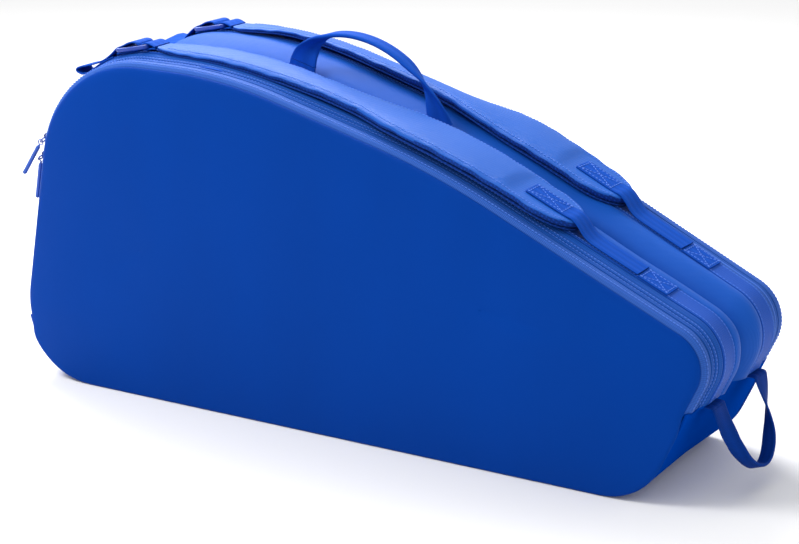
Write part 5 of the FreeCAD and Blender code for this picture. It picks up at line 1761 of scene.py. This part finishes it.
class BAG_OT_handles(bpy.types.Operator):
    """Make the carry handle and the grab loop"""

    bl_idname = "bag.handles"
    bl_label = "Handle and loop"

    def execute(self, context):
        self.add_handle()
        self.add_loop()
        return {"FINISHED"}

    def add_handle(self):
        """Webbing that stands up out of the valley and is doubled flat for the hand."""
        wide, narrow = [
            Vector((x, 0, strip_height(x, -HANDLE_ROOT_DROP))) for x in HANDLE_X
        ]
        along = (narrow - wide).normalized()
        over = Vector((-along.z, 0, along.x))
        lift = over * (ROOT_BEAD + GAP)
        (rise, lead), (reach, trail) = HANDLE_PULLS
        points = [
            wide + lift,
            wide + lift + over * rise + along * lead,
            narrow + lift + over * reach + along * trail,
            narrow + lift,
        ]
        rows = twisted_arch(points, along, Y_AXIS, HANDLE_WIDTH, HANDLE_GRIP, HANDLE_THICKNESS)
        piece = add_piece("carry_handle_ribbon", skin(rows), finish("nylon_webbing"), sharp=60)
        fit(piece, "handle", "webbing", "carry_handle")
        profile = webbing_profile(HANDLE_WIDTH, HANDLE_THICKNESS, ARCH_RIBS)
        deep = over * (VALLEY_DEPTH - 4)
        stems = []
        for root in (wide, narrow):
            middles = [root - deep * share for share in (-0.05, 0.2, 0.5, 0.8, 1.0)]
            stems.append(skin(rows_through(middles, along, Y_AXIS, profile)))
        piece = add_piece("carry_handle_stems", joined(stems), finish("nylon_webbing"), sharp=60)
        fit(piece, "bag", "webbing", "carry_handle_roots")

    def add_loop(self):
        """Loop of strap webbing that hangs at the narrow end."""
        down = Vector((math.sin(LOOP_ANGLE), 0, -math.cos(LOOP_ANGLE)))
        root = Vector((LOOP_ROOT_X, 0, LOOP_ROOT_HEIGHT)) + down * (ROOT_BEAD + GAP)
        near, drawn = Y_AXIS * LOOP_ROOT_Y, Y_AXIS * (LOOP_ROOT_Y - LOOP_DRAW)
        drop = down * LOOP_DROP
        points = [root - near, root - drawn + drop, root + drawn + drop, root + near]
        rows = twisted_arch(
            points, Y_AXIS, Y_AXIS.cross(down), WEBBING_WIDTH, LOOP_GRIP, WEBBING_THICKNESS
        )
        # The loop's darker webbing is painted shade.
        piece = add_piece("grab_loop_ribbon", skin(rows), finish("grab_loop_shaded_webbing"), sharp=60)
        fit(piece, "loop", "webbing", "grab_loop")
        profile = webbing_profile(WEBBING_WIDTH, WEBBING_THICKNESS)
        line = ((344, 88), (350, 88.2), (355, 88.2), (357, 87.6), (358, 86.2))
        stubs = []
        for y in (-LOOP_ROOT_Y, LOOP_ROOT_Y):
            middles = [Vector((x, y, z)) for x, z in line]
            stubs.append(skin(rows_through(middles, Y_AXIS, Z_AXIS, profile)))
        piece = add_piece("grab_loop_stubs", joined(stubs), finish("grab_loop_shaded_webbing"), sharp=60)
        fit(piece, "bag", "webbing", "grab_loop_roots")


# ---------------------------------------------------------------- stage


CAMERA_PLACE, CAMERA_LENS, SENSOR_WIDTH = (1.0393, -1.6612, 0.7457), 96.8, 36
CAMERA_AZIMUTH, CAMERA_ELEVATION = math.radians(31.905), math.radians(17.251)
# Soft lights as (place, what they aim at, size, watts), in metres.
LIGHTS = {
    "overhead": ((-0.8, 0.6, 1.35), (-0.2, 0, 0.3), (1.0, 0.8), 34),
    "front_left": ((-0.95, -1.05, 1.75), (-0.4, -0.1, 0.3), (0.7, 0.7), 27),
}
HORIZON_GLOW, ZENITH_GLOW = 0.82, 0.95
FLOOR_CELLS, FLOOR_REACH = 24, 12.0


class BAG_OT_stage(bpy.types.Operator):
    """Set the pale floor, soft studio light and the camera"""

    bl_idname = "bag.stage"
    bl_label = "Stage"

    def execute(self, context):
        scene = context.scene
        scene.view_settings.view_transform = "Standard"
        floor = bmesh.new()
        bmesh.ops.create_grid(
            floor, x_segments=FLOOR_CELLS, y_segments=FLOOR_CELLS, size=FLOOR_REACH
        )
        add_piece("studio_floor", floor, finish("studio_floor"))
        self.add_world(scene)
        for name, settings in LIGHTS.items():
            self.add_light(name, *settings)
        self.add_camera(scene)
        return {"FINISHED"}

    def add_camera(self, scene):
        """A long lens that looks down on the bag from its front and narrow end."""
        camera = bpy.data.cameras.new("camera")
        camera.lens = CAMERA_LENS
        camera.sensor_width = SENSOR_WIDTH
        holder = bpy.data.objects.new("camera", camera)
        scene.collection.objects.link(holder)
        right = Vector((math.cos(CAMERA_AZIMUTH), math.sin(CAMERA_AZIMUTH), 0))
        level = Vector((math.sin(CAMERA_AZIMUTH), -math.cos(CAMERA_AZIMUTH), 0))
        back = level * math.cos(CAMERA_ELEVATION) + Z_AXIS * math.sin(CAMERA_ELEVATION)
        holder.matrix_world = axes(Vector(CAMERA_PLACE), right, back.cross(right), back)
        scene.camera = holder

    def add_world(self, scene):
        """A white dome that is brighter overhead than at the horizon."""
        world = bpy.data.worlds.new("studio")
        scene.world = world
        world.use_nodes = True
        tree = world.node_tree
        facing = add_node(tree, "ShaderNodeTexCoord").outputs["Generated"]
        height = add_node(tree, "ShaderNodeSeparateXYZ", {"Vector": facing}).outputs["Z"]
        values = {
            "Value": height, "From Min": 0.0, "From Max": 1.0,
            "To Min": HORIZON_GLOW, "To Max": ZENITH_GLOW,
        }
        strength = add_node(tree, "ShaderNodeMapRange", values)
        dome = tree.nodes["Background"]
        dome.inputs["Color"].default_value = (1, 1, 1, 1)
        tree.links.new(strength.outputs["Result"], dome.inputs["Strength"])

    def add_light(self, name, place, target, size, power):
        """A soft rectangular light aimed at a point."""
        light = bpy.data.lights.new(name, "AREA")
        light.shape = "RECTANGLE"
        light.size, light.size_y = size
        light.energy = power
        holder = bpy.data.objects.new(name, light)
        bpy.context.scene.collection.objects.link(holder)
        aim = Vector(target) - Vector(place)
        turn = aim.to_track_quat("-Z", "Y").to_matrix().to_4x4()
        holder.matrix_world = Matrix.Translation(place) @ turn


# ---------------------------------------------------------------- add-on


OPERATORS = [
    BAG_OT_finishes,
    BAG_OT_stage,
    BAG_OT_panels,
    BAG_OT_gussets,
    BAG_OT_zips,
    BAG_OT_base,
    BAG_OT_straps,
    BAG_OT_buckles,
    BAG_OT_pulls,
    BAG_OT_handles,
]


class BAG_PT_parts(bpy.types.Panel):
    """Colours, sizes and steps of the racket bag"""

    bl_idname = "BAG_PT_parts"
    bl_label = "Racket Bag"
    bl_space_type = "VIEW_3D"
    bl_region_type = "UI"
    bl_category = "Racket Bag"

    def draw(self, context):
        for group in (context.scene.bag_colours, context.scene.bag_sizes):
            for name in group.__annotations__:
                self.layout.prop(group, name)
        for operator in OPERATORS:
            self.layout.operator(operator.bl_idname)


CLASSES = [BagColours, BagSizes, *OPERATORS, BAG_PT_parts]


def register():
    """Add the bag's classes and settings."""
    for each in CLASSES:
        bpy.utils.register_class(each)
    bpy.types.Scene.bag_colours = PointerProperty(type=BagColours)
    bpy.types.Scene.bag_sizes = PointerProperty(type=BagSizes)


def unregister():
    """Take the bag's classes and settings away."""
    del bpy.types.Scene.bag_sizes
    del bpy.types.Scene.bag_colours
    for each in reversed(CLASSES):
        bpy.utils.unregister_class(each)


def main():
    """Make every piece of the bag."""
    register()
    for operator in OPERATORS:
        group, name = operator.bl_idname.split(".")
        getattr(getattr(bpy.ops, group), name)()


if __name__ == "__main__":
    main()
